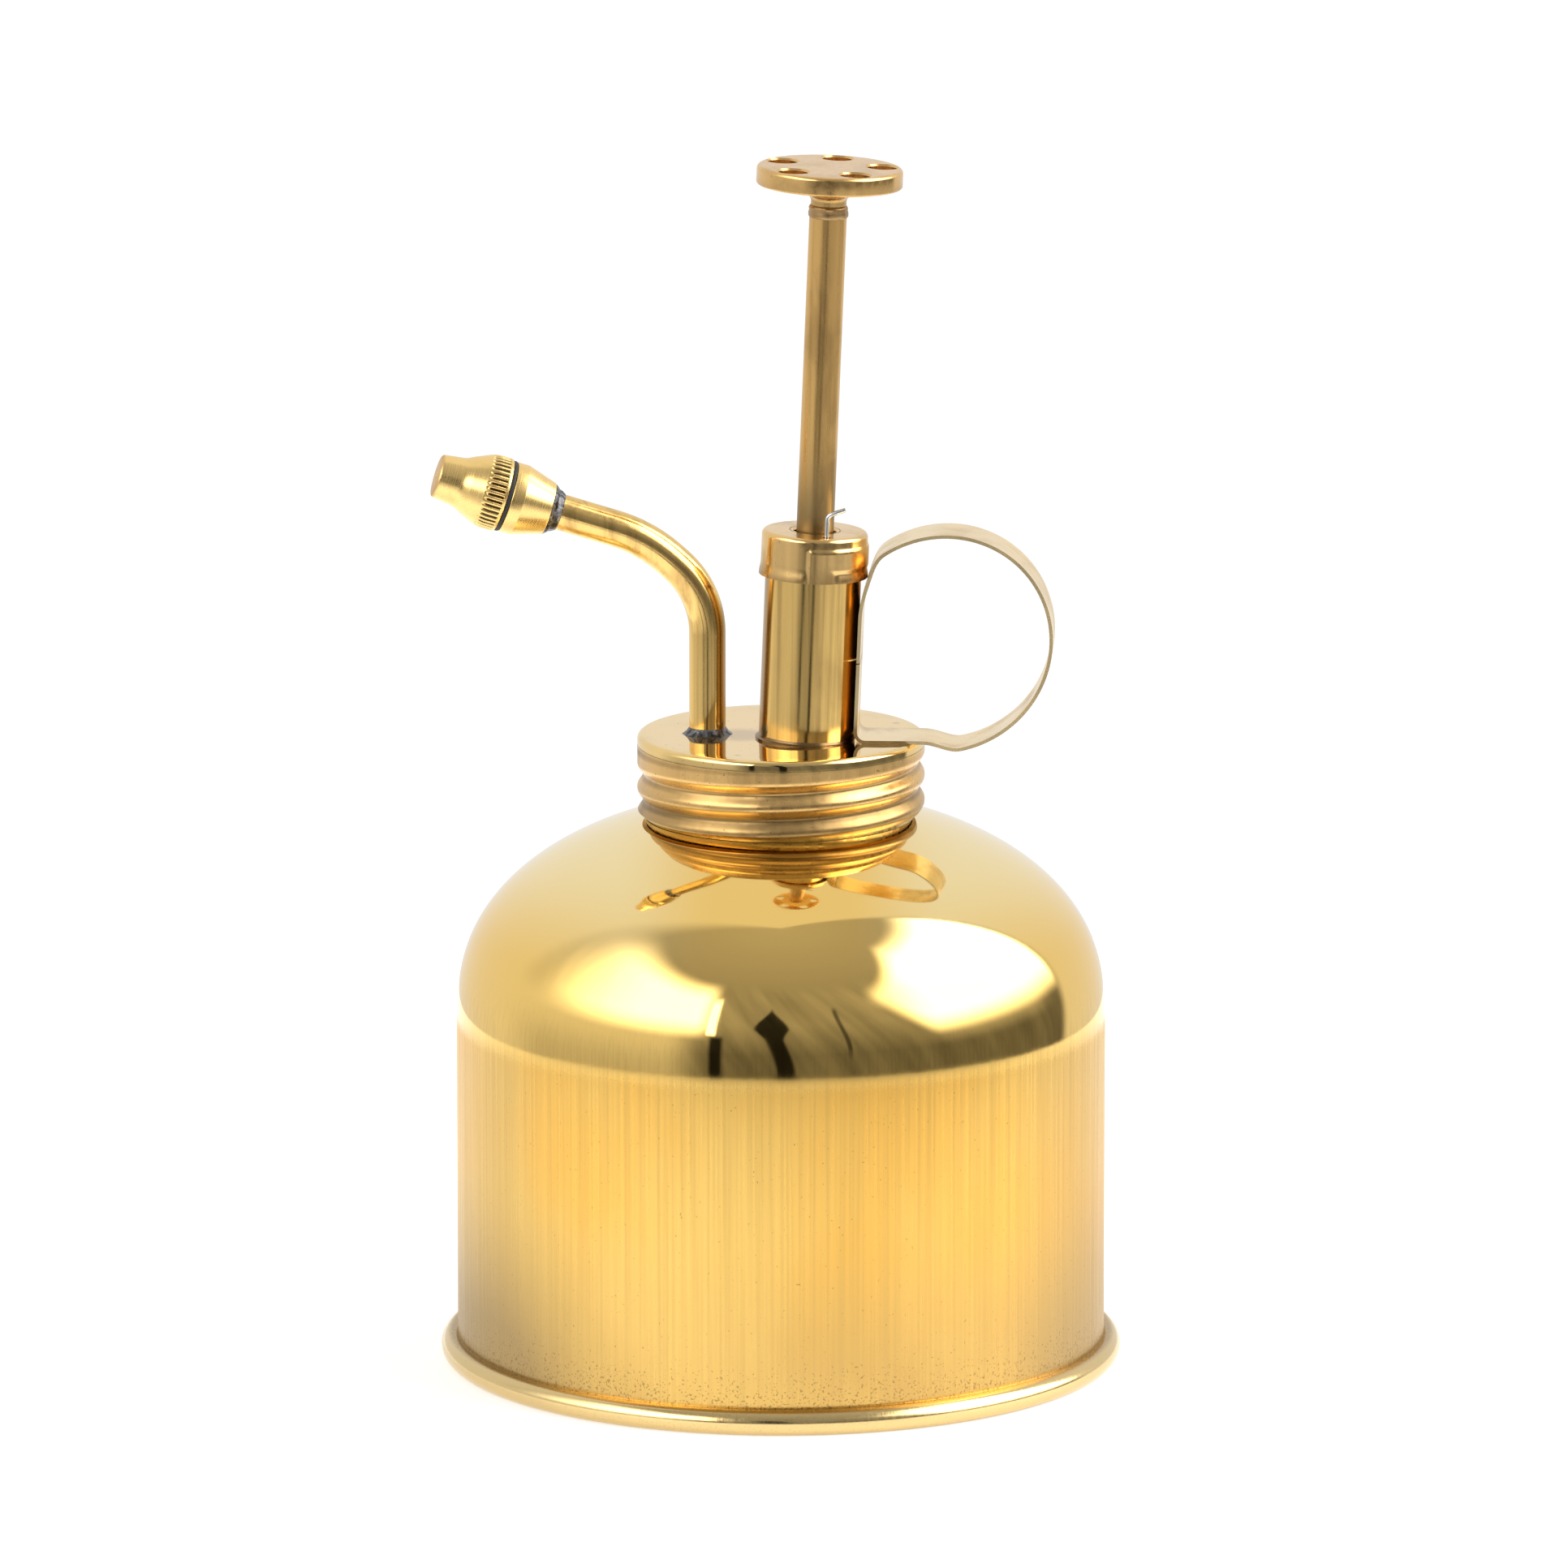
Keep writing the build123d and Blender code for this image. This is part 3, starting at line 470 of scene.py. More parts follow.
def cap_brass():
    """Screw cap: mirror-like top, tarnish patches, brown painted shade in the thread and towards the
    lower edge.
    """
    n = Nodes("cap_brass")
    x, y, z = n.split(n.place)
    blotch = n.noise(150, 4.0, None, 0.4)
    fine = n.noise(1.0, 2.0, (900, 900, 40))

    # The phase is whole in the middle of the rolled groove, which runs round as a screw line.
    turn = n.math("DIVIDE", n.math("ARCTAN2", y, x), 2 * math.pi)
    rise = n.math("DIVIDE", n.minus(z, THREAD_FRONT_Z * MM), THREAD_PITCH * MM)
    phase = n.minus(rise, n.plus(turn, 0.25))
    wave = n.math("COSINE", n.times(phase, 2 * math.pi))
    side = n.ramp(z, (CAP_TOP - CAP_SIDE_DROP) * MM, (CAP_TOP - CAP_SIDE_DROP - 1.0) * MM)
    # Painted shade in the rolled groove of the side.
    groove = n.times(n.ramp(wave, 0.1, 1.0), side)

    # Painted shade grows towards the lower edge; the blotchy patches are tarnish.
    uneven_z = n.plus(z, n.times(blotch, 0.002))
    foot = n.ramp(uneven_z, (CAP_BOTTOM + 7.0) * MM, (CAP_BOTTOM + 0.8) * MM)
    patch = n.ramp(blotch, 0.45, 0.72, 0.0, 0.35)
    dull = n.plus(patch, n.plus(n.times(groove, 0.55), n.times(foot, 0.6)), True)
    dull = n.times(dull, n.blend(side, 0.25, 1.0))
    darkened_colour = n.mix(dull, n.mix(side, CAP_TOP_GOLD, CAP_SIDE_GOLD), CAP_TARNISH_AND_SHADE)
    reach = n.plus(n.vector("DISTANCE", n.place, CAP_STAIN_AT), n.times(blotch, 0.003))
    stained = n.mix(n.ramp(reach, 0.0065, 0.0035, 0.0, 0.6), darkened_colour, CAP_STAIN)

    pits = n.ramp(n.noise(2100, 1.0), 0.72, 0.78)
    for speck_x, speck_y, size in CAP_SPECKS:
        off = n.vector("DISTANCE", n.place, (speck_x * MM, speck_y * MM, CAP_TOP * MM))
        speck = n.ramp(n.plus(off, n.times(blotch, 0.0006)), size * MM, 0.0)
        pits = n.plus(pits, speck, True)
    colour = n.mix(n.times(pits, 0.7), stained, CAP_PIT)
    polish = n.blend(side, 0.055, n.ramp(fine, 0.3, 0.7, 0.21, 0.29))
    normal = n.bump(n.plus(n.times(fine, 0.35), blotch), 0.10, RELIEF)
    return n.finish(colour, n.plus(polish, n.times(dull, 0.12)), 1.0, normal)


def tube_brass(name, origin, axis, undarkened, darkened, both_sides):
    """Barrel and spout: mirror polish with long brown streaks down the tube.

    Along axis, measured from origin, the surface turns brown between the two given distances,
    as painted shade on the tube's sides seen from the front.
    """
    n = Nodes(name)
    blotch = n.noise(120, 4.0, (1, 1, 0.5), 0.3)
    streak = n.noise(1.0, 3.0, (900, 900, 14))
    fine = n.noise(1.0, 2.0, (2400, 2400, 40))
    across = n.along(origin, axis)
    if both_sides:
        across = n.math("ABSOLUTE", across)
    # Painted shade on the tube's sides as seen from the front.
    edge_shade = n.ramp(n.plus(across, n.times(blotch, 0.0006)), undarkened, darkened, 0.0, 0.85)
    worn = n.plus(n.ramp(blotch, 0.48, 0.72, 0.0, 0.22), n.ramp(streak, 0.45, 0.72, 0.0, 0.40), True)
    dull = n.math("MAXIMUM", worn, edge_shade)
    colour = n.mix(dull, TUBE_GOLD, TUBE_TARNISH_AND_SHADE)
    rough = n.plus(n.ramp(fine, 0.3, 0.7, 0.11, 0.17), n.times(dull, 0.10))
    return n.finish(colour, rough, 1.0, n.bump(streak, 0.10, RELIEF))


def rod_brass():
    """Plunger rod: brown and worn above, olive tarnish near the barrel cap."""
    n = Nodes("rod_brass")
    along = n.along(on_pump(28), PUMP_AXIS)
    blotch = n.noise(240, 4.0, (1, 1, 0.35), 0.5)
    low = n.ramp(n.plus(along, n.times(blotch, 0.006)), 0.015, 0.004)
    streak = n.noise(1.0, 3.0, (1500, 1500, 30))
    worn = n.mix(n.ramp(blotch, 0.46, 0.68, 0.0, 0.55), ROD_GOLD, ROD_BROWN)
    colour = n.mix(n.times(low, 0.75), worn, ROD_OLIVE)
    rough = n.plus(n.ramp(streak, 0.3, 0.7, 0.22, 0.32), n.times(low, 0.12))
    normal = n.bump(n.plus(n.times(streak, 0.4), blotch), 0.2, 0.00004)
    return n.finish(colour, rough, 1.0, normal)


def nozzle_brass():
    """Turned nozzle: fine rings from the lathe, darker knurl grooves, a brown, dull tip."""
    n = Nodes("nozzle_brass")
    along = n.along(NOZZLE_TIP, -NOZZLE_OUT)
    rings = n.add("ShaderNodeTexNoise", noise_dimensions="1D")
    n.put(rings.inputs["W"], along)
    rings.inputs["Scale"].default_value = 7000
    turned = rings.outputs["Fac"]
    blotch = n.noise(300, 4.0, None, 0.3)
    worn = n.mix(n.ramp(blotch, 0.52, 0.75, 0.0, 0.25), NOZZLE_GOLD, NOZZLE_TARNISH)

    # The knurl's grooves lie deeper than the swelling band's own surface.
    arm = n.vector("SUBTRACT", n.place, NOZZLE_TIP)
    radius = n.vector("LENGTH", n.vector("CROSS_PRODUCT", arm, NOZZLE_OUT))
    depth = n.minus(n.ramp(along, KNURL_LOW * MM, 0.00750, 0.00464, 0.00490), radius)
    band = n.times(n.ramp(along, 0.00640, 0.00690), n.ramp(along, 0.00886, 0.00880))
    groove = n.times(n.ramp(depth, 0.00005, 0.00014), band)
    # The knurl's grooves are darker.
    darkened = n.mix(n.times(groove, 0.9), worn, KNURL_GROOVE_DARK)
    tip = n.ramp(n.plus(along, n.times(blotch, 0.0008)), 0.0009, 0.0003)
    colour = n.mix(n.times(tip, 0.6), darkened, NOZZLE_TIP_BROWN)
    rough = n.plus(n.ramp(turned, 0.3, 0.7, 0.22, 0.32), n.times(tip, 0.18))
    return n.finish(colour, rough, 1.0, n.bump(turned, 0.05, 0.00002))


def solder_metal():
    n = Nodes("solder_metal")
    lumps = n.noise(900, 4.0, None, 0.8)
    colour = n.mix(n.ramp(lumps, 0.35, 0.7), (0.05, 0.05, 0.055, 1), (0.26, 0.25, 0.25, 1))
    rough = n.ramp(lumps, 0.3, 0.7, 0.22, 0.42)
    return n.finish(colour, rough, 1.0, n.bump(lumps, 0.5, 0.00015))


def steel_wire():
    n = Nodes("steel_wire")
    drawn = n.noise(1500, 2.0, (1, 1, 0.2))
    colour = n.mix(n.ramp(drawn, 0.4, 0.7), (0.66, 0.66, 0.66, 1), (0.48, 0.47, 0.45, 1))
    rough = n.ramp(drawn, 0.3, 0.7, 0.14, 0.26)
    return n.finish(colour, rough, 1.0, n.bump(drawn, 0.2, 0.00002))


def black_rubber():
    n = Nodes("black_rubber")
    grain = n.noise(2500, 3.0)
    colour = n.mix(grain, (0.010, 0.010, 0.010, 1), (0.028, 0.026, 0.024, 1))
    rough = n.ramp(grain, 0.3, 0.7, 0.45, 0.65)
    return n.finish(colour, rough, 0.0, n.bump(grain, 0.3, 0.00005))


def cup_leather():
    n = Nodes("cup_leather")
    cells = n.add("ShaderNodeTexVoronoi")
    n.put(cells.inputs["Vector"], n.place)
    cells.inputs["Scale"].default_value = 1800
    blotch = n.noise(300, 4.0)
    colour = n.mix(blotch, (0.13, 0.06, 0.025, 1), (0.30, 0.16, 0.07, 1))
    rough = n.ramp(blotch, 0.3, 0.7, 0.45, 0.65)
    return n.finish(colour, rough, 0.0, n.bump(cells.outputs["Distance"], 0.5, 0.0001))


TANK_BRASS = tank_brass()
CAP_BRASS = cap_brass()
# Painted shade: the barrel darkens at both sides, the spout at one side.
BARREL_BRASS = tube_brass("barrel_brass", PUMP.translation, PUMP.to_3x3() @ Vector((1, 0, 0)),
                          undarkened=0.0056, darkened=0.0064, both_sides=True)
SPOUT_BRASS = tube_brass("spout_brass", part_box("solder_spout")[0], Vector((1, 0, 0)),
                         undarkened=0.0049, darkened=0.0058, both_sides=False)
# Painted shade darkens the barrel cap's skirt towards its foot.
FERRULE_BRASS = small_brass("ferrule_brass", (0.83, 0.55, 0.22, 1), (0.30, 0.18, 0.07, 1),
                            smooth=0.14, rough=0.22, dirt=0.5,
                            painted_shade=(on_pump(SKIRT_FOOT), PUMP_AXIS, 0.0030, 0.0))
# Painted shade darkens the knob towards its underside and its dish.
KNOB_BRASS = small_brass("knob_brass", (0.78, 0.49, 0.185, 1), (0.34, 0.22, 0.09, 1),
                         smooth=0.17, rough=0.25, dirt=0.30, scratch=(1300, 1300, 1300),
                         painted_shade=(on_pump(KNOB_UNDER - 0.4), PUMP_AXIS, 0.003, -0.001))
STRIP_BRASS = small_brass("strip_brass", (0.92, 0.71, 0.38, 1), (0.45, 0.30, 0.14, 1),
                          smooth=0.20, rough=0.28, dirt=0.55, scratch=(160, 160, 160),
                          pitted=0.1, relief=0.05)
SEAM_BRASS = small_brass("seam_brass", (0.22, 0.14, 0.06, 1), (0.08, 0.05, 0.03, 1),
                         smooth=0.18, rough=0.30, dirt=0.5)
BRAZE_BRASS = small_brass("braze_brass", (0.42, 0.27, 0.12, 1), (0.15, 0.09, 0.045, 1),
                          smooth=0.28, rough=0.42, dirt=0.6)
INNER_BRASS = small_brass("inner_brass", (0.66, 0.48, 0.20, 1), (0.25, 0.17, 0.08, 1),
                          smooth=0.22, rough=0.38, dirt=0.5)
ROD_BRASS = rod_brass()
NOZZLE_BRASS = nozzle_brass()
SOLDER = solder_metal()
STEEL = steel_wire()
RUBBER = black_rubber()
LEATHER = cup_leather()


def dress(obj, material, body, slot, *nodes):
    """Gives a new piece its material, its body and the CAD nodes it stands for; slot is not used."""
    obj.data.materials.clear()
    obj.data.materials.append(material)
    if body:
        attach(obj, body)
    if nodes:
        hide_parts(*nodes)
    return obj


def paint_node(name, material):
    """A CAD node keeps its shape and gets another material."""
    node = frame["nodes"][name]
    node.data.materials.clear()
    node.data.materials.append(material)


# ------------------------------------------------------------------ tank
TANK_RADIUS = 42.8
TANK_SHEET = 0.6
DOME_START = 46.0
DOME_HEIGHT = 29.0
DOME_POWER = 2.4
BEAD_RADIUS = 1.7
BEAD_CENTRE_Z = 1.6
BEAD_STEPS = 48
BEAD_PAST = 214  # degrees that the rolled edge runs on past level
MOUTH_RADIUS = 17.2


def dome_outline(radius, height, steps=64):
    """Shoulder curve (r/R)^2 + (h/H)^2.4 = 1 from the wall to the mouth."""
    last = math.acos(MOUTH_RADIUS / radius)
    points = []
    for i in range(steps + 1):
        angle = last * i / steps
        z = DOME_START + height * math.sin(angle) ** (2 / DOME_POWER)
        points.append((radius * math.cos(angle), z))
    return points


def tank_outline():
    """Closed outline: shoulder and wall outside, rolled foot, then the inside back up."""
    centre = FOOT_RADIUS - BEAD_RADIUS
    outline = dome_outline(TANK_RADIUS, DOME_HEIGHT)[::-1]
    outline += [(TANK_RADIUS, z) for z in (42.0, 36.0, 26.0, 16.0, 8.0, 4.5)]
    top = math.degrees(math.acos((TANK_RADIUS - centre) / BEAD_RADIUS))
    for k in range(BEAD_STEPS + 1):
        angle = math.radians(top - (top + BEAD_PAST) * k / BEAD_STEPS)
        z = max(0.0, BEAD_CENTRE_Z + BEAD_RADIUS * math.sin(angle))
        outline.append((centre + BEAD_RADIUS * math.cos(angle), z))
    outline += [(TANK_RADIUS - TANK_SHEET, z) for z in (3.2, 20.0, 42.0)]
    outline += dome_outline(TANK_RADIUS - TANK_SHEET, DOME_HEIGHT - TANK_SHEET)
    return outline


def spun_waver(angle, r, z):
    """The spun wall is a few hundredths of a millimetre out of round."""
    if z < 4 or z > 70:
        return r, z
    amount = 0.05 * smoothstep(4, 12, z) * smoothstep(70, 60, z)
    p = Vector((math.cos(angle) * 1.1, math.sin(angle) * 1.1, z * 0.02))
    return r + amount * noise.noise(p), z


tank = lathe("tank", tank_outline(), segments=320, shape=spun_waver)
dress(tank, TANK_BRASS, "reservoir", "polished_brass", "reservoir_shell")

# ------------------------------------------------------------------ screw cap
CAP_RADIUS = 18.9
CAP_SHEET = 0.6
CAP_TOP_SHEET = 0.7
CAP_SIDE_STEP = 0.18
CAP_SIDE_HEIGHT = 8.9
THREAD_DEPTH = 0.75


def thread_depth(angle, z):
    """How deep the rolled groove is at a place on the cap's side; it fades out behind."""
    degrees = math.degrees(angle)
    line = THREAD_FRONT_Z + THREAD_PITCH * (degrees - FRONT) / 360
    turns = round((z - line) / THREAD_PITCH)
    along = degrees + 360 * turns - FRONT
    off = (z - line) / THREAD_PITCH - turns
    fade = smoothstep(185, 120, along)
    return THREAD_DEPTH * fade * (0.5 + 0.5 * math.cos(2 * math.pi * off)) ** 1.25


def cap_side(angle, r, z):
    """Rolls the thread into the cap's side and leaves its top plain."""
    if r < CAP_RADIUS - 1.0 or z > CAP_TOP - 1.2:
        return r, z
    return r - thread_depth(angle, z), z


def make_lid_cap():
    rings = int(CAP_SIDE_HEIGHT / CAP_SIDE_STEP) + 1
    side = [(CAP_RADIUS, CAP_BOTTOM + CAP_SIDE_STEP * k) for k in range(rings)]
    corner = rounded([(CAP_RADIUS, CAP_TOP - 1.4, 0), (CAP_RADIUS, CAP_TOP, 1.3), (16.5, CAP_TOP, 0)], 10)
    top = [(r, CAP_TOP) for r in (12.0, 8.0, 4.0, 0)]
    under = [(r, CAP_TOP - CAP_TOP_SHEET) for r in (0, 6.0, 12.0, CAP_RADIUS - CAP_SHEET)]
    inner = [(r - CAP_SHEET, z) for r, z in reversed(side)]
    outline = side + corner + top + under + inner
    return lathe("screw_cap", outline, segments=288, shape=cap_side)


SPOUT_AXIS = Vector(((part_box("solder_spout")[0].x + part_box("solder_spout")[1].x) / 2,
                     (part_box("solder_spout")[0].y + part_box("solder_spout")[1].y) / 2, 0))
cap = make_lid_cap()
cut(cap, bar(BARREL_RADIUS, -3, 3, PUMP))
cut(cap, bar(SPOUT_RADIUS, CAP_TOP - 3, CAP_TOP + 3, Matrix.Translation(SPOUT_AXIS)))
dress(cap, CAP_BRASS, "lid", "polished_brass", "lid_cap")

# ------------------------------------------------------------------ pump barrel and its cap
BARREL_BORE = 5.8
BARREL_LOW, BARREL_HIGH = -38.5, 26.9
barrel = [(BARREL_BORE, BARREL_LOW)]
barrel += [(BARREL_RADIUS, z) for z in (BARREL_LOW, -20, 0, 12, BARREL_HIGH)]
barrel += [(BARREL_BORE, BARREL_HIGH), (BARREL_BORE, 0)]
dress(lathe("barrel_tube", barrel, PUMP, 128), BARREL_BRASS, "lid", "polished_brass", "pump_barrel")

# The pressed track: degrees of its open leg, half its width, and how far its level run goes round.
TRACK_ENTRY = -82.0
TRACK_HALF = 14.0
TRACK_TURN = 80.0
TRACK_SOFT = 3.6
PRESS_DEPTH = 0.2
SKIRT_RADIUS = 6.95
SKIRT_BORE = 6.35
ROOF_START, ROOF_UNDER, ROOF_TOP = 26.9, 27.0, 27.7
ROD_HOLE = 2.8


def track_mask(angle, z):
    """1 inside the pressed L-shaped track of the barrel cap, 0 outside, soft at its edges."""
    degrees = (math.degrees(angle) - TRACK_ENTRY + 180) % 360 - 180
    enter = smoothstep(-TRACK_HALF - TRACK_SOFT, -TRACK_HALF + TRACK_SOFT, degrees)
    leave_leg = smoothstep(TRACK_HALF + TRACK_SOFT, TRACK_HALF - TRACK_SOFT, degrees)
    end = TRACK_TURN + TRACK_HALF
    leave_run = smoothstep(end + TRACK_SOFT, end - TRACK_SOFT, degrees)
    top = smoothstep(26.6, 25.8, z)
    low = smoothstep(22.8, 23.6, z)
    return enter * top * max(leave_leg, leave_run * low)


def pressed(angle, r, z):
    """Skirt of the barrel cap: plain above, pressed track, gently flared foot."""
    if r < BARREL_RADIUS or z > ROOF_START:
        return r, z
    degrees = (math.degrees(angle) - TRACK_ENTRY + 360) % 360
    open_leg = max(smoothstep(TRACK_HALF + 6, TRACK_HALF, degrees), smoothstep(340, 346, degrees))
    flare = smoothstep(SKIRT_FOOT + 1.8, SKIRT_FOOT + 0.1, z) * (1 - open_leg)
    return r + PRESS_DEPTH * max(track_mask(angle, z), flare), z


def make_barrel_cap():
    heights = [SKIRT_FOOT + 0.12 * k for k in range(39)]
    side = [(SKIRT_RADIUS, z) for z in heights]
    corner = rounded([(SKIRT_RADIUS, 26.4, 0), (SKIRT_RADIUS, ROOF_TOP, 1.3), (3.2, ROOF_TOP, 0)], 12)
    rim = rounded([(3.4, ROOF_TOP, 0), (ROD_HOLE, ROOF_TOP, 0.3), (ROD_HOLE, ROOF_UNDER, 0)], 4)
    inner = [(SKIRT_BORE, z) for z in [ROOF_UNDER] + heights[::-1]]
    return lathe("pressed_cap", side + corner + rim + inner, PUMP, 240, shape=pressed)


HOOK_ANGLE = math.radians(-74)
COIL_RADIUS = 5.43
WIRE_RADIUS = 0.31
hook_foot = COIL_RADIUS * Vector((math.cos(HOOK_ANGLE), math.sin(HOOK_ANGLE), 0))
pressed_cap = make_barrel_cap()
cut(pressed_cap, bar(0.5, 26, 29, PUMP @ Matrix.Translation(hook_foot * MM), 24))
dress(pressed_cap, FERRULE_BRASS, "barrel_cap", "polished_brass", "barrel_cap")


# ------------------------------------------------------------------ return spring
def spring_path():
    """Points of the wire: anchor in the rod, coil, riser and bent end."""
    turns, low, high = 13.0, 11.2, 26.3
    steps_per_turn = 28
    start = HOOK_ANGLE - 2 * math.pi * turns
    points = [Vector((r * math.cos(start), r * math.sin(start), low)) for r in (0.6, 4.6)]
    steps = int(turns * steps_per_turn)
    for k in range(2, steps + 1):
        angle = start + 2 * math.pi * turns * k / steps
        z = low + (high - low) * k / steps
        points.append(Vector((COIL_RADIUS * math.cos(angle), COIL_RADIUS * math.sin(angle), z)))
    x, y = hook_foot.x, hook_foot.y
    for z in (26.6, 27.4, 28.6, 29.8):
        points.append(Vector((x, y, z)))
    bend = [(0, 30.15), (0.08, 30.42), (0.28, 30.66), (0.6, 30.84), (1.3, 31.12), (2.3, 31.5)]
    for run, z in bend:
        points.append(Vector((x + run, y, z)))
    return [PUMP @ (p * MM) for p in points]


def make_wire(name, path, radius, count=12):
    """Round wire along points, its section carried along without twist."""
    bm = bmesh.new()
    rings = []
    tangent = (path[1] - path[0]).normalized()
    side = tangent.orthogonal().normalized()
    for i, point in enumerate(path):
        ahead = (path[min(i + 1, len(path) - 1)] - path[max(i - 1, 0)]).normalized()
        side = tangent.rotation_difference(ahead) @ side
        side = (side - ahead * side.dot(ahead)).normalized()
        tangent = ahead
        normal = ahead.cross(side)
        ring = []
        for k in range(count):
            angle = 2 * math.pi * k / count
            spoke = side * math.cos(angle) + normal * math.sin(angle)
            ring.append(bm.verts.new(point + spoke * radius * MM))
        rings.append(ring)
    grid_faces(bm, rings, False)
    bm.faces.new(rings[0][::-1])
    bm.faces.new(rings[-1])
    return finished_mesh(name, bm)


spring = make_wire("spring_wire", spring_path(), WIRE_RADIUS)
dress(spring, STEEL, None, "steel_wire", "return_spring")
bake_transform(spring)

# ------------------------------------------------------------------ plunger
ROD_RADIUS = 2.45
STEM_RADIUS = 1.9  # lower end, which carries the piston
TENON_RADIUS = 1.5  # upper end, which carries the knob
ROD_LOW, ROD_SHOULDER, ROD_NECK, ROD_HIGH = 2.4, 10.2, 69.2, 74.9
rod = [(0, ROD_LOW), (STEM_RADIUS, ROD_LOW), (STEM_RADIUS, ROD_SHOULDER)]
rod += [(ROD_RADIUS, z) for z in (ROD_SHOULDER, 30, 50, ROD_NECK)]
rod += [(TENON_RADIUS, ROD_NECK), (TENON_RADIUS, ROD_HIGH), (0, ROD_HIGH)]
dress(lathe("rod", rod, PUMP, 96), ROD_BRASS, "plunger", "dull_brass", "plunger_rod")

KNOB_RADIUS = 9.55
KNOB_TOP = 75.9
KNOB_HOLES = 5
FIRST_HOLE = 10  # degrees
HOLE_RING = 6.9
HOLE = [(0, 72), (2.0, 72), (2.0, 75.65), (2.35, 76.0), (2.6, 76.3), (0, 76.3)]


def make_knob():
    outline = [(r, KNOB_TOP) for r in (0, 2.0, 4.0, 6.0)]
    outline += rounded([(7.5, KNOB_TOP, 0), (KNOB_RADIUS, KNOB_TOP, 0.55),
                        (KNOB_RADIUS, KNOB_UNDER, 0.3), (7.5, KNOB_UNDER, 0)], 8)
    outline += [(r, KNOB_UNDER) for r in (5, 3, 0)]
    knob = lathe("knob", outline, PUMP, 192)
    for k in range(KNOB_HOLES):
        angle = math.radians(FIRST_HOLE + 360 // KNOB_HOLES * k)
        middle = Vector((HOLE_RING * math.cos(angle), HOLE_RING * math.sin(angle), 0))
        cut(knob, lathe("cutter", HOLE, PUMP @ Matrix.Translation(middle * MM), 48))
    return knob


dress(make_knob(), KNOB_BRASS, "plunger", "satin_brass", "knob_disc")
dish = rounded([(TENON_RADIUS, 70.8, 0), (2.33, 70.8, 0.05), (2.33, 71.85, 0.8),
                (6.1, KNOB_UNDER, 0), (TENON_RADIUS, KNOB_UNDER, 0)], 6)
dress(lathe("knob_neck", dish, PUMP, 96), KNOB_BRASS, "plunger", "satin_brass", "knob_dish")


def lumpy(amount, scale):
    """Uneven surface: a shape that moves a point in or out by up to amount, in mm."""
    def shape(angle, r, z):
        p = Vector((math.cos(angle) * scale, math.sin(angle) * scale, z * 1.1))
        return r + amount * noise.noise(p), z
    return shape


braze = [(TENON_RADIUS, ROD_NECK), (2.46, ROD_NECK), (2.58, 69.4), (2.60, 69.8), (2.52, 70.2),
         (2.58, 70.5), (2.42, 70.8), (2.33, 70.85), (TENON_RADIUS, 70.85)]
braze_ring = lathe("braze_ring", braze, PUMP, 96, shape=lumpy(0.09, 2.6))
dress(braze_ring, BRAZE_BRASS, "plunger", "dull_brass", "knob_braze")


# ------------------------------------------------------------------ spout
SPOUT_WALL = 0.5


def spout_path():
    """Centre line of the delivery tube in its upright plane, rounded at two knees."""
    outwards = Vector((NOZZLE_OUT.x, NOZZLE_OUT.y, 0)).normalized()
    rise = math.asin(NOZZLE_OUT.z)
    reach = (Vector((NOZZLE_TIP.x, NOZZLE_TIP.y, 0)) - SPOUT_AXIS).length / MM
    tip_z = NOZZLE_TIP.z / MM
    socket = 12.5  # the tube ends this far behind the nozzle's tip
    knee = 8.0  # the upper knee stands this far out from the upright part
    lean = math.radians(47.0)  # of the part between the knees, from upright
    knee_z = tip_z - (reach - knee) * math.tan(rise)
    heel_z = knee_z - knee / math.tan(lean)
    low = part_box("spout_tube")[0].z / MM
    corners = [(0, low, 0), (0, heel_z, 14.0), (knee, knee_z, 20.0),
               (reach - socket * math.cos(rise), tip_z - socket * math.sin(rise), 0)]
    points = []
    for out, z in rounded(corners, 24):
        points.append(SPOUT_AXIS + outwards * (out * MM) + UP * (z * MM))
    return points, outwards.cross(UP)


def make_tube(name, path, up, outer, wall, count=56):
    """Open-ended tube with real wall thickness along a path."""
    bm = bmesh.new()
    rings = []
    order = list(range(len(path))) + list(range(len(path) - 1, -1, -1))
    for step, i in enumerate(order):
        radius = outer if step < len(path) else outer - wall
        tangent = (path[min(i + 1, len(path) - 1)] - path[max(i - 1, 0)]).normalized()
        side = (up - tangent * up.dot(tangent)).normalized()
        normal = tangent.cross(side)
        section = circle(radius, count)
        rings.append([bm.verts.new(path[i] + (side * x + normal * y) * MM) for x, y in section])
    grid_faces(bm, rings, True)
    return finished_mesh(name, bm)


spout_points, spout_side = spout_path()
spout = make_tube("spout", spout_points, spout_side, SPOUT_RADIUS, SPOUT_WALL)
dress(spout, SPOUT_BRASS, "lid", "polished_brass", "spout_tube")


def solder_ring(name, outline, place, node):
    """Fillet of solder with an uneven surface; its inner face stays on the tube."""
    inner = min(r for r, z in outline)

    def shape(angle, r, z):
        if r <= inner + 0.01:
            return r, z
        p = Vector((math.cos(angle) * 2.2, math.sin(angle) * 2.2, z * 0.9))
        broad = 0.20 * (r - inner) * noise.noise(p * 1.7)
        return r + broad + 0.015 * noise.noise(p * 5), z
    ring = lathe(name, outline, place, 128, shape=shape)
    return dress(ring, SOLDER, "lid", "solder", node)


def densify(outline, step=0.15):
    """The same closed outline with points no further apart than about a step."""
    points = []
    count = len(outline)
    for i in range(count):
        a = Vector(outline[i])
        b = Vector(outline[(i + 1) % count])
        parts = max(1, int((b - a).length / step))
        points += [tuple(a.lerp(b, k / parts)) for k in range(parts)]
    return points


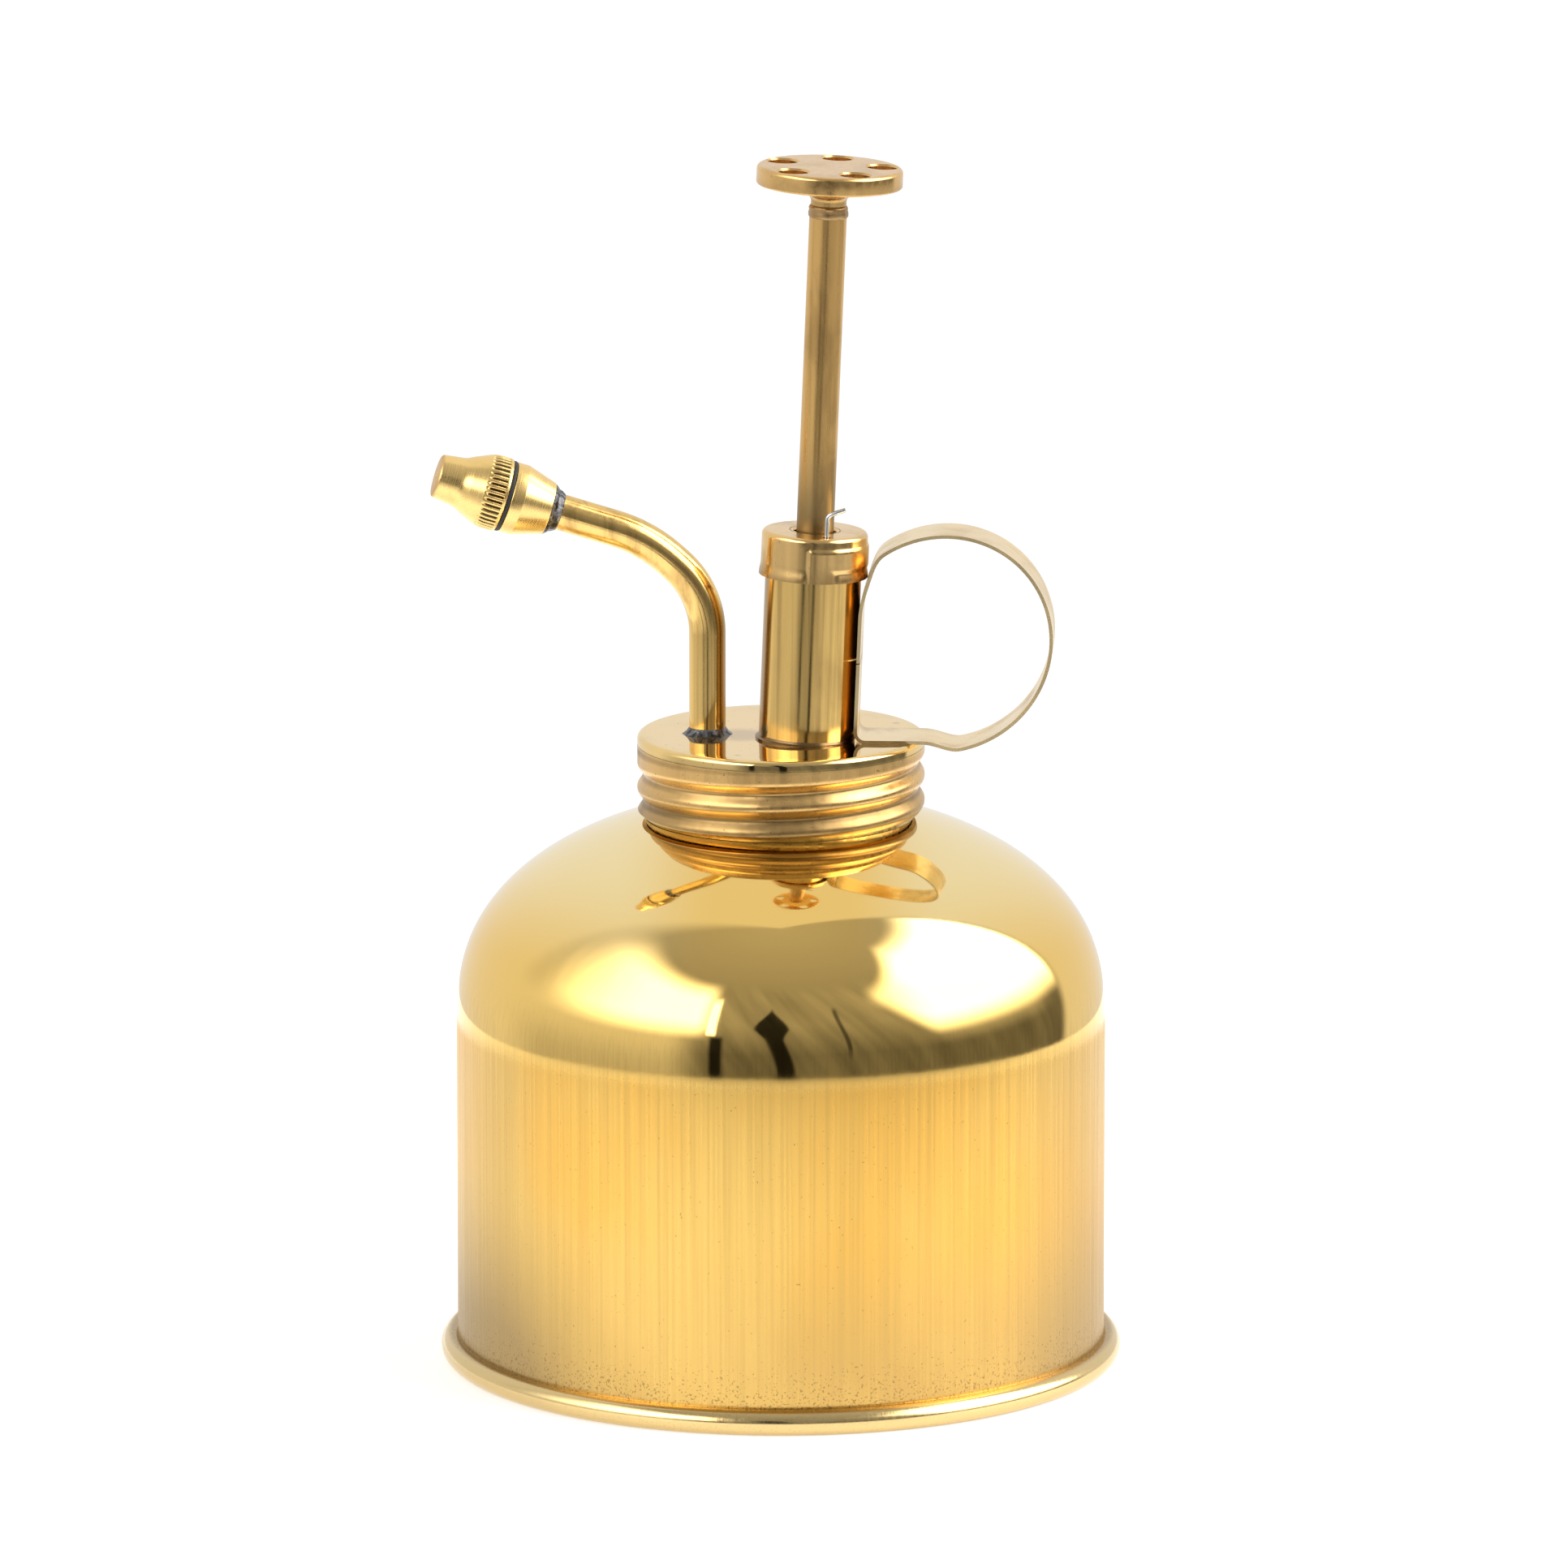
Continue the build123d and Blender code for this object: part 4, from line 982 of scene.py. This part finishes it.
spout_solder = [(SPOUT_RADIUS, 0.0), (3.3, 0.0), (3.05, 0.15), (2.75, 0.45), (SPOUT_RADIUS, 0.95)]
spout_solder = [(r, CAP_TOP + z) for r, z in spout_solder]
solder_ring("solder_at_spout", densify(spout_solder), Matrix.Translation(SPOUT_AXIS), "solder_spout")
nozzle_solder = [(SPOUT_RADIUS, 15.5), (3.3, 15.5), (3.15, 15.8), (2.85, 16.15), (2.75, 16.5),
                 (2.5, 16.95), (SPOUT_RADIUS, 17.0)]
solder_ring("solder_at_nozzle", densify(nozzle_solder), NOZZLE, "solder_nozzle")
paint_node("solder_barrel", SEAM_BRASS)

# ------------------------------------------------------------------ nozzle
KNURL_TEETH = 40
KNURL_DEPTH = 0.26
BAND_STEPS = 36


def knurl(angle, r, z):
    """Cuts the straight knurl into the band."""
    if r < 4.5 or not KNURL_LOW - 0.01 <= z <= KNURL_HIGH + 0.01:
        return r, z
    wave = 0.5 + 0.5 * math.cos(angle * KNURL_TEETH)
    ends = min(smoothstep(KNURL_LOW, KNURL_LOW + 0.7, z),
               smoothstep(KNURL_HIGH, KNURL_HIGH - 0.12, z))
    return r - KNURL_DEPTH * ends * (1 - wave) ** 2.2, z


def make_nozzle_cap():
    face = rounded([(0.3, 0.5, 0), (0.45, 0.0, 0.05), (2.84, 0.0, 0.4), (3.3, 3.25, 3.0),
                    (3.85, 4.35, 2.5), (4.6, 6.1, 0)], 6)
    band = []
    for k in range(BAND_STEPS + 1):
        z = KNURL_LOW + (KNURL_HIGH - KNURL_LOW) * k / BAND_STEPS
        swell = min(1.0, (z - KNURL_LOW) / 1.5)
        band.append((4.62 + 0.28 * (1 - (1 - swell) ** 2), z))
    rear = rounded([(4.9, 8.87, 0), (4.85, 9.2, 0.12), (3.4, 9.2, 0.08), (3.4, 5.0, 0)], 4)
    outline = face + band + rear + [(2.2, 5.0), (2.2, 1.6), (0.3, 1.6)]
    return lathe("nozzle_nut", outline, NOZZLE, KNURL_TEETH * 12, shape=knurl)


dress(make_nozzle_cap(), NOZZLE_BRASS, "nozzle", "polished_brass", "nozzle_cap")
base = rounded([(1.2, 5.3, 0), (3.3, 5.3, 0.15), (3.3, 9.8, 0), (4.7, 9.8, 0.15),
                (4.7, 11.4, 0.25), (3.45, 15.45, 0.2), (SPOUT_RADIUS, 15.5, 0),
                (SPOUT_RADIUS, 12.5, 0), (1.2, 12.5, 0)], 5)
dress(lathe("nozzle_body", base, NOZZLE, 160), NOZZLE_BRASS, "lid", "polished_brass", "nozzle_base")
seal = rounded([(3.36, 9.5, 0), (3.36, 9.22, 0.05), (4.74, 9.22, 0.2), (4.74, 9.78, 0.2),
                (3.36, 9.78, 0.05), (3.36, 9.51, 0)], 5)
dress(lathe("rubber_ring", seal, NOZZLE, 128), RUBBER, "nozzle_seal", "black_rubber", "nozzle_seal")

# ------------------------------------------------------------------ CAD nodes that keep their shape
paint_node("finger_loop", STRIP_BRASS)
worn_edges = frame["nodes"]["finger_loop"].modifiers.new("worn_edges", "BEVEL")
worn_edges.width = 0.14 * MM
worn_edges.segments = 3
worn_edges.limit_method = "ANGLE"
worn_edges.angle_limit = math.radians(55)
worn_edges.harden_normals = True
for node in ("neck_collar", "bayonet_pin", "pump_foot", "intake_stop_pin", "dip_tube",
             "outlet_valve_body", "outlet_stop_pin", "swirl_core", "piston_backing",
             "piston_spreader", "piston_nut", "base_plate"):
    paint_node(node, INNER_BRASS)
for node in ("bead_wire", "intake_ball", "outlet_ball"):
    paint_node(node, STEEL)
paint_node("lid_gasket", RUBBER)
paint_node("piston_cup", LEATHER)


# ------------------------------------------------------------------ studio
TABLE_RADIUS = 0.255
TABLE_GLOW = 0.5


def studio_floor():
    """White round table; its own glow lets it fade into the pale surroundings."""
    bm = bmesh.new()
    bmesh.ops.create_circle(bm, cap_ends=True, segments=128, radius=TABLE_RADIUS)
    floor = finished_mesh("table", bm)
    n = Nodes("table_white")
    grain = n.noise(60, 3.0)
    white = n.mix(grain, (0.60, 0.60, 0.60, 1), (0.62, 0.62, 0.62, 1))
    n.shader.inputs["Emission Color"].default_value = (1, 1, 1, 1)
    n.shader.inputs["Emission Strength"].default_value = TABLE_GLOW
    floor.data.materials.append(n.finish(white, 0.6, 0.0))


def span(n, value, low, high, soft_low, soft_high):
    """1 where value is between low and high, with soft ends; low and high may be sockets."""
    over = n.ramp(n.minus(value, low), -soft_low, soft_low)
    under = n.ramp(n.minus(high, value), -soft_high, soft_high)
    return n.times(over, under)


# Brightness of the room by height: (share of the way from straight down to straight up, level).
ROOM_LEVELS = [(0.0, 0.85), (1.0, 0.55), (0.4295, 0.85), (0.434, 0.17), (0.50, 0.17), (0.555, 0.27),
               (0.61, 0.36), (0.75, 0.38), (0.83, 0.44)]
BACKDROP_LEVEL = 0.88
LAMP_LEVEL = 4.0
SEEN_LEVEL = 1.05


def studio_world():
    """Pale surroundings, a dim room behind the camera and two soft boxes above it.

    Azimuth 0 is where the camera stands and grows to the right. Azimuth, rise and all soft
    widths are in degrees.
    """
    world = bpy.data.worlds.new("studio")
    bpy.context.scene.world = world
    n = Tree(world)
    x, y, z = n.split(n.add("ShaderNodeTexCoord").outputs["Generated"])
    azimuth = n.math("DEGREES", n.math("ARCTAN2", x, n.times(y, -1.0)))
    rise = n.math("DEGREES", n.math("ARCSINE", z))

    def window(azimuths, rises):
        """1 inside two spans, each given as low, high, soft low and soft high."""
        return n.times(span(n, azimuth, *azimuths), span(n, rise, *rises))

    # The dim room, with soft folds as of a curtain in its lower part.
    room = n.curve(n.math("DIVIDE", n.plus(rise, 90.0), 180.0), ROOM_LEVELS)
    slanted = n.add("ShaderNodeCombineXYZ")
    n.put(slanted.inputs[0], n.plus(azimuth, n.times(rise, 0.45)))
    n.put(slanted.inputs[1], n.times(rise, 0.15))
    folds = n.add("ShaderNodeTexNoise")
    n.put(folds.inputs["Vector"], slanted.outputs[0])
    folds.inputs["Scale"].default_value = 0.11
    swing = n.ramp(folds.outputs["Fac"], 0.3, 0.7, 0.80, 1.25)
    room = n.times(room, n.blend(n.ramp(rise, 52, 38), 1.0, swing))

    # Paler things low on both sides, and the pale backdrop round the rest.
    low_left = window((-150, -34, 5, 9), (-12, 16, 1, 7))
    level = n.blend(low_left, room, n.ramp(rise, -11, 9, 0.60, 0.85))
    low_right = window((58, 108, 12, 6), (4, 20, 6, 6))
    level = n.blend(low_right, level, 0.60)
    level = n.blend(span(n, azimuth, -104, 120, 14, 3), BACKDROP_LEVEL, level)

    # Dark things: a tapered stand in the middle, a post on its left, a leaning line on its right.
    half_width = n.math("MINIMUM", n.ramp(rise, 34, 17, 0.0, 6.5), n.ramp(rise, 9, 20, 3.4, 7.0))
    stand_off = n.math("ABSOLUTE", n.minus(azimuth, n.ramp(rise, 20, -12, -3.5, 2.0)))
    stand = n.times(n.ramp(n.minus(half_width, stand_off), -0.5, 0.9), n.ramp(rise, 34, 31))
    post = window((-25.4, -20.8, 0.9, 0.9), (-40, 11, 1, 2))
    line_off = n.math("ABSOLUTE", n.minus(azimuth, n.ramp(rise, 31, 0, 20.5, 24.5)))
    line = n.times(n.ramp(line_off, 1.1, 0.5), span(n, rise, 0, 31, 5, 2))
    dark = n.math("MAXIMUM", stand, n.math("MAXIMUM", post, n.times(line, 0.8)))
    level = n.times(level, n.minus(1.0, n.times(dark, 0.93)))

    # Soft boxes: a wide one and a slit on the left, a slanting one on the right.
    left = window((-80, -28, 32, 4), (15, n.ramp(azimuth, -100, -26, 57, 42), 8, 8))
    slit = window((-27, -23.6, 0.6, 0.6), (12, 36, 1.5, 4))
    right_low = n.ramp(azimuth, 33, 60, 36, 12)
    right_high = n.ramp(azimuth, 33, 72, 38, 61)
    right = window((37, 119, 4, 2), (right_low, right_high, 8, 7))
    right = n.times(right, n.ramp(azimuth, 38, 62, 1.6, 5.0))
    lamps = n.plus(n.times(n.math("MAXIMUM", left, slit), LAMP_LEVEL), right)

    seen = n.add("ShaderNodeLightPath").outputs["Is Camera Ray"]
    background = n.add("ShaderNodeBackground")
    background.inputs["Color"].default_value = (1, 1, 1, 1)
    n.put(background.inputs["Strength"], n.blend(seen, n.plus(level, lamps), SEEN_LEVEL))
    output = n.add("ShaderNodeOutputWorld")
    n.put(output.inputs["Surface"], background.outputs[0])


# Camera fitted to the photograph: places in metres, focal length in millimetres.
CAMERA_AT = Vector((0.0004, -1.8, 0.4605))
CAMERA_AIM = Vector((0.0004, 0, 0.077))
FOCAL_LENGTH = 321.3


def studio_camera():
    data = bpy.data.cameras.new("camera")
    data.sensor_width = 36
    data.lens = FOCAL_LENGTH
    data.clip_start = 0.1
    data.clip_end = 50
    camera = bpy.data.objects.new("camera", data)
    bpy.context.scene.collection.objects.link(camera)
    camera.location = CAMERA_AT
    aim = CAMERA_AIM - CAMERA_AT
    camera.rotation_euler = aim.to_track_quat("-Z", "Y").to_euler()
    bpy.context.scene.camera = camera


studio_floor()
studio_world()
studio_camera()
scene = bpy.context.scene
scene.view_settings.view_transform = "Standard"
scene.view_settings.look = "None"
scene.cycles.use_denoising = True
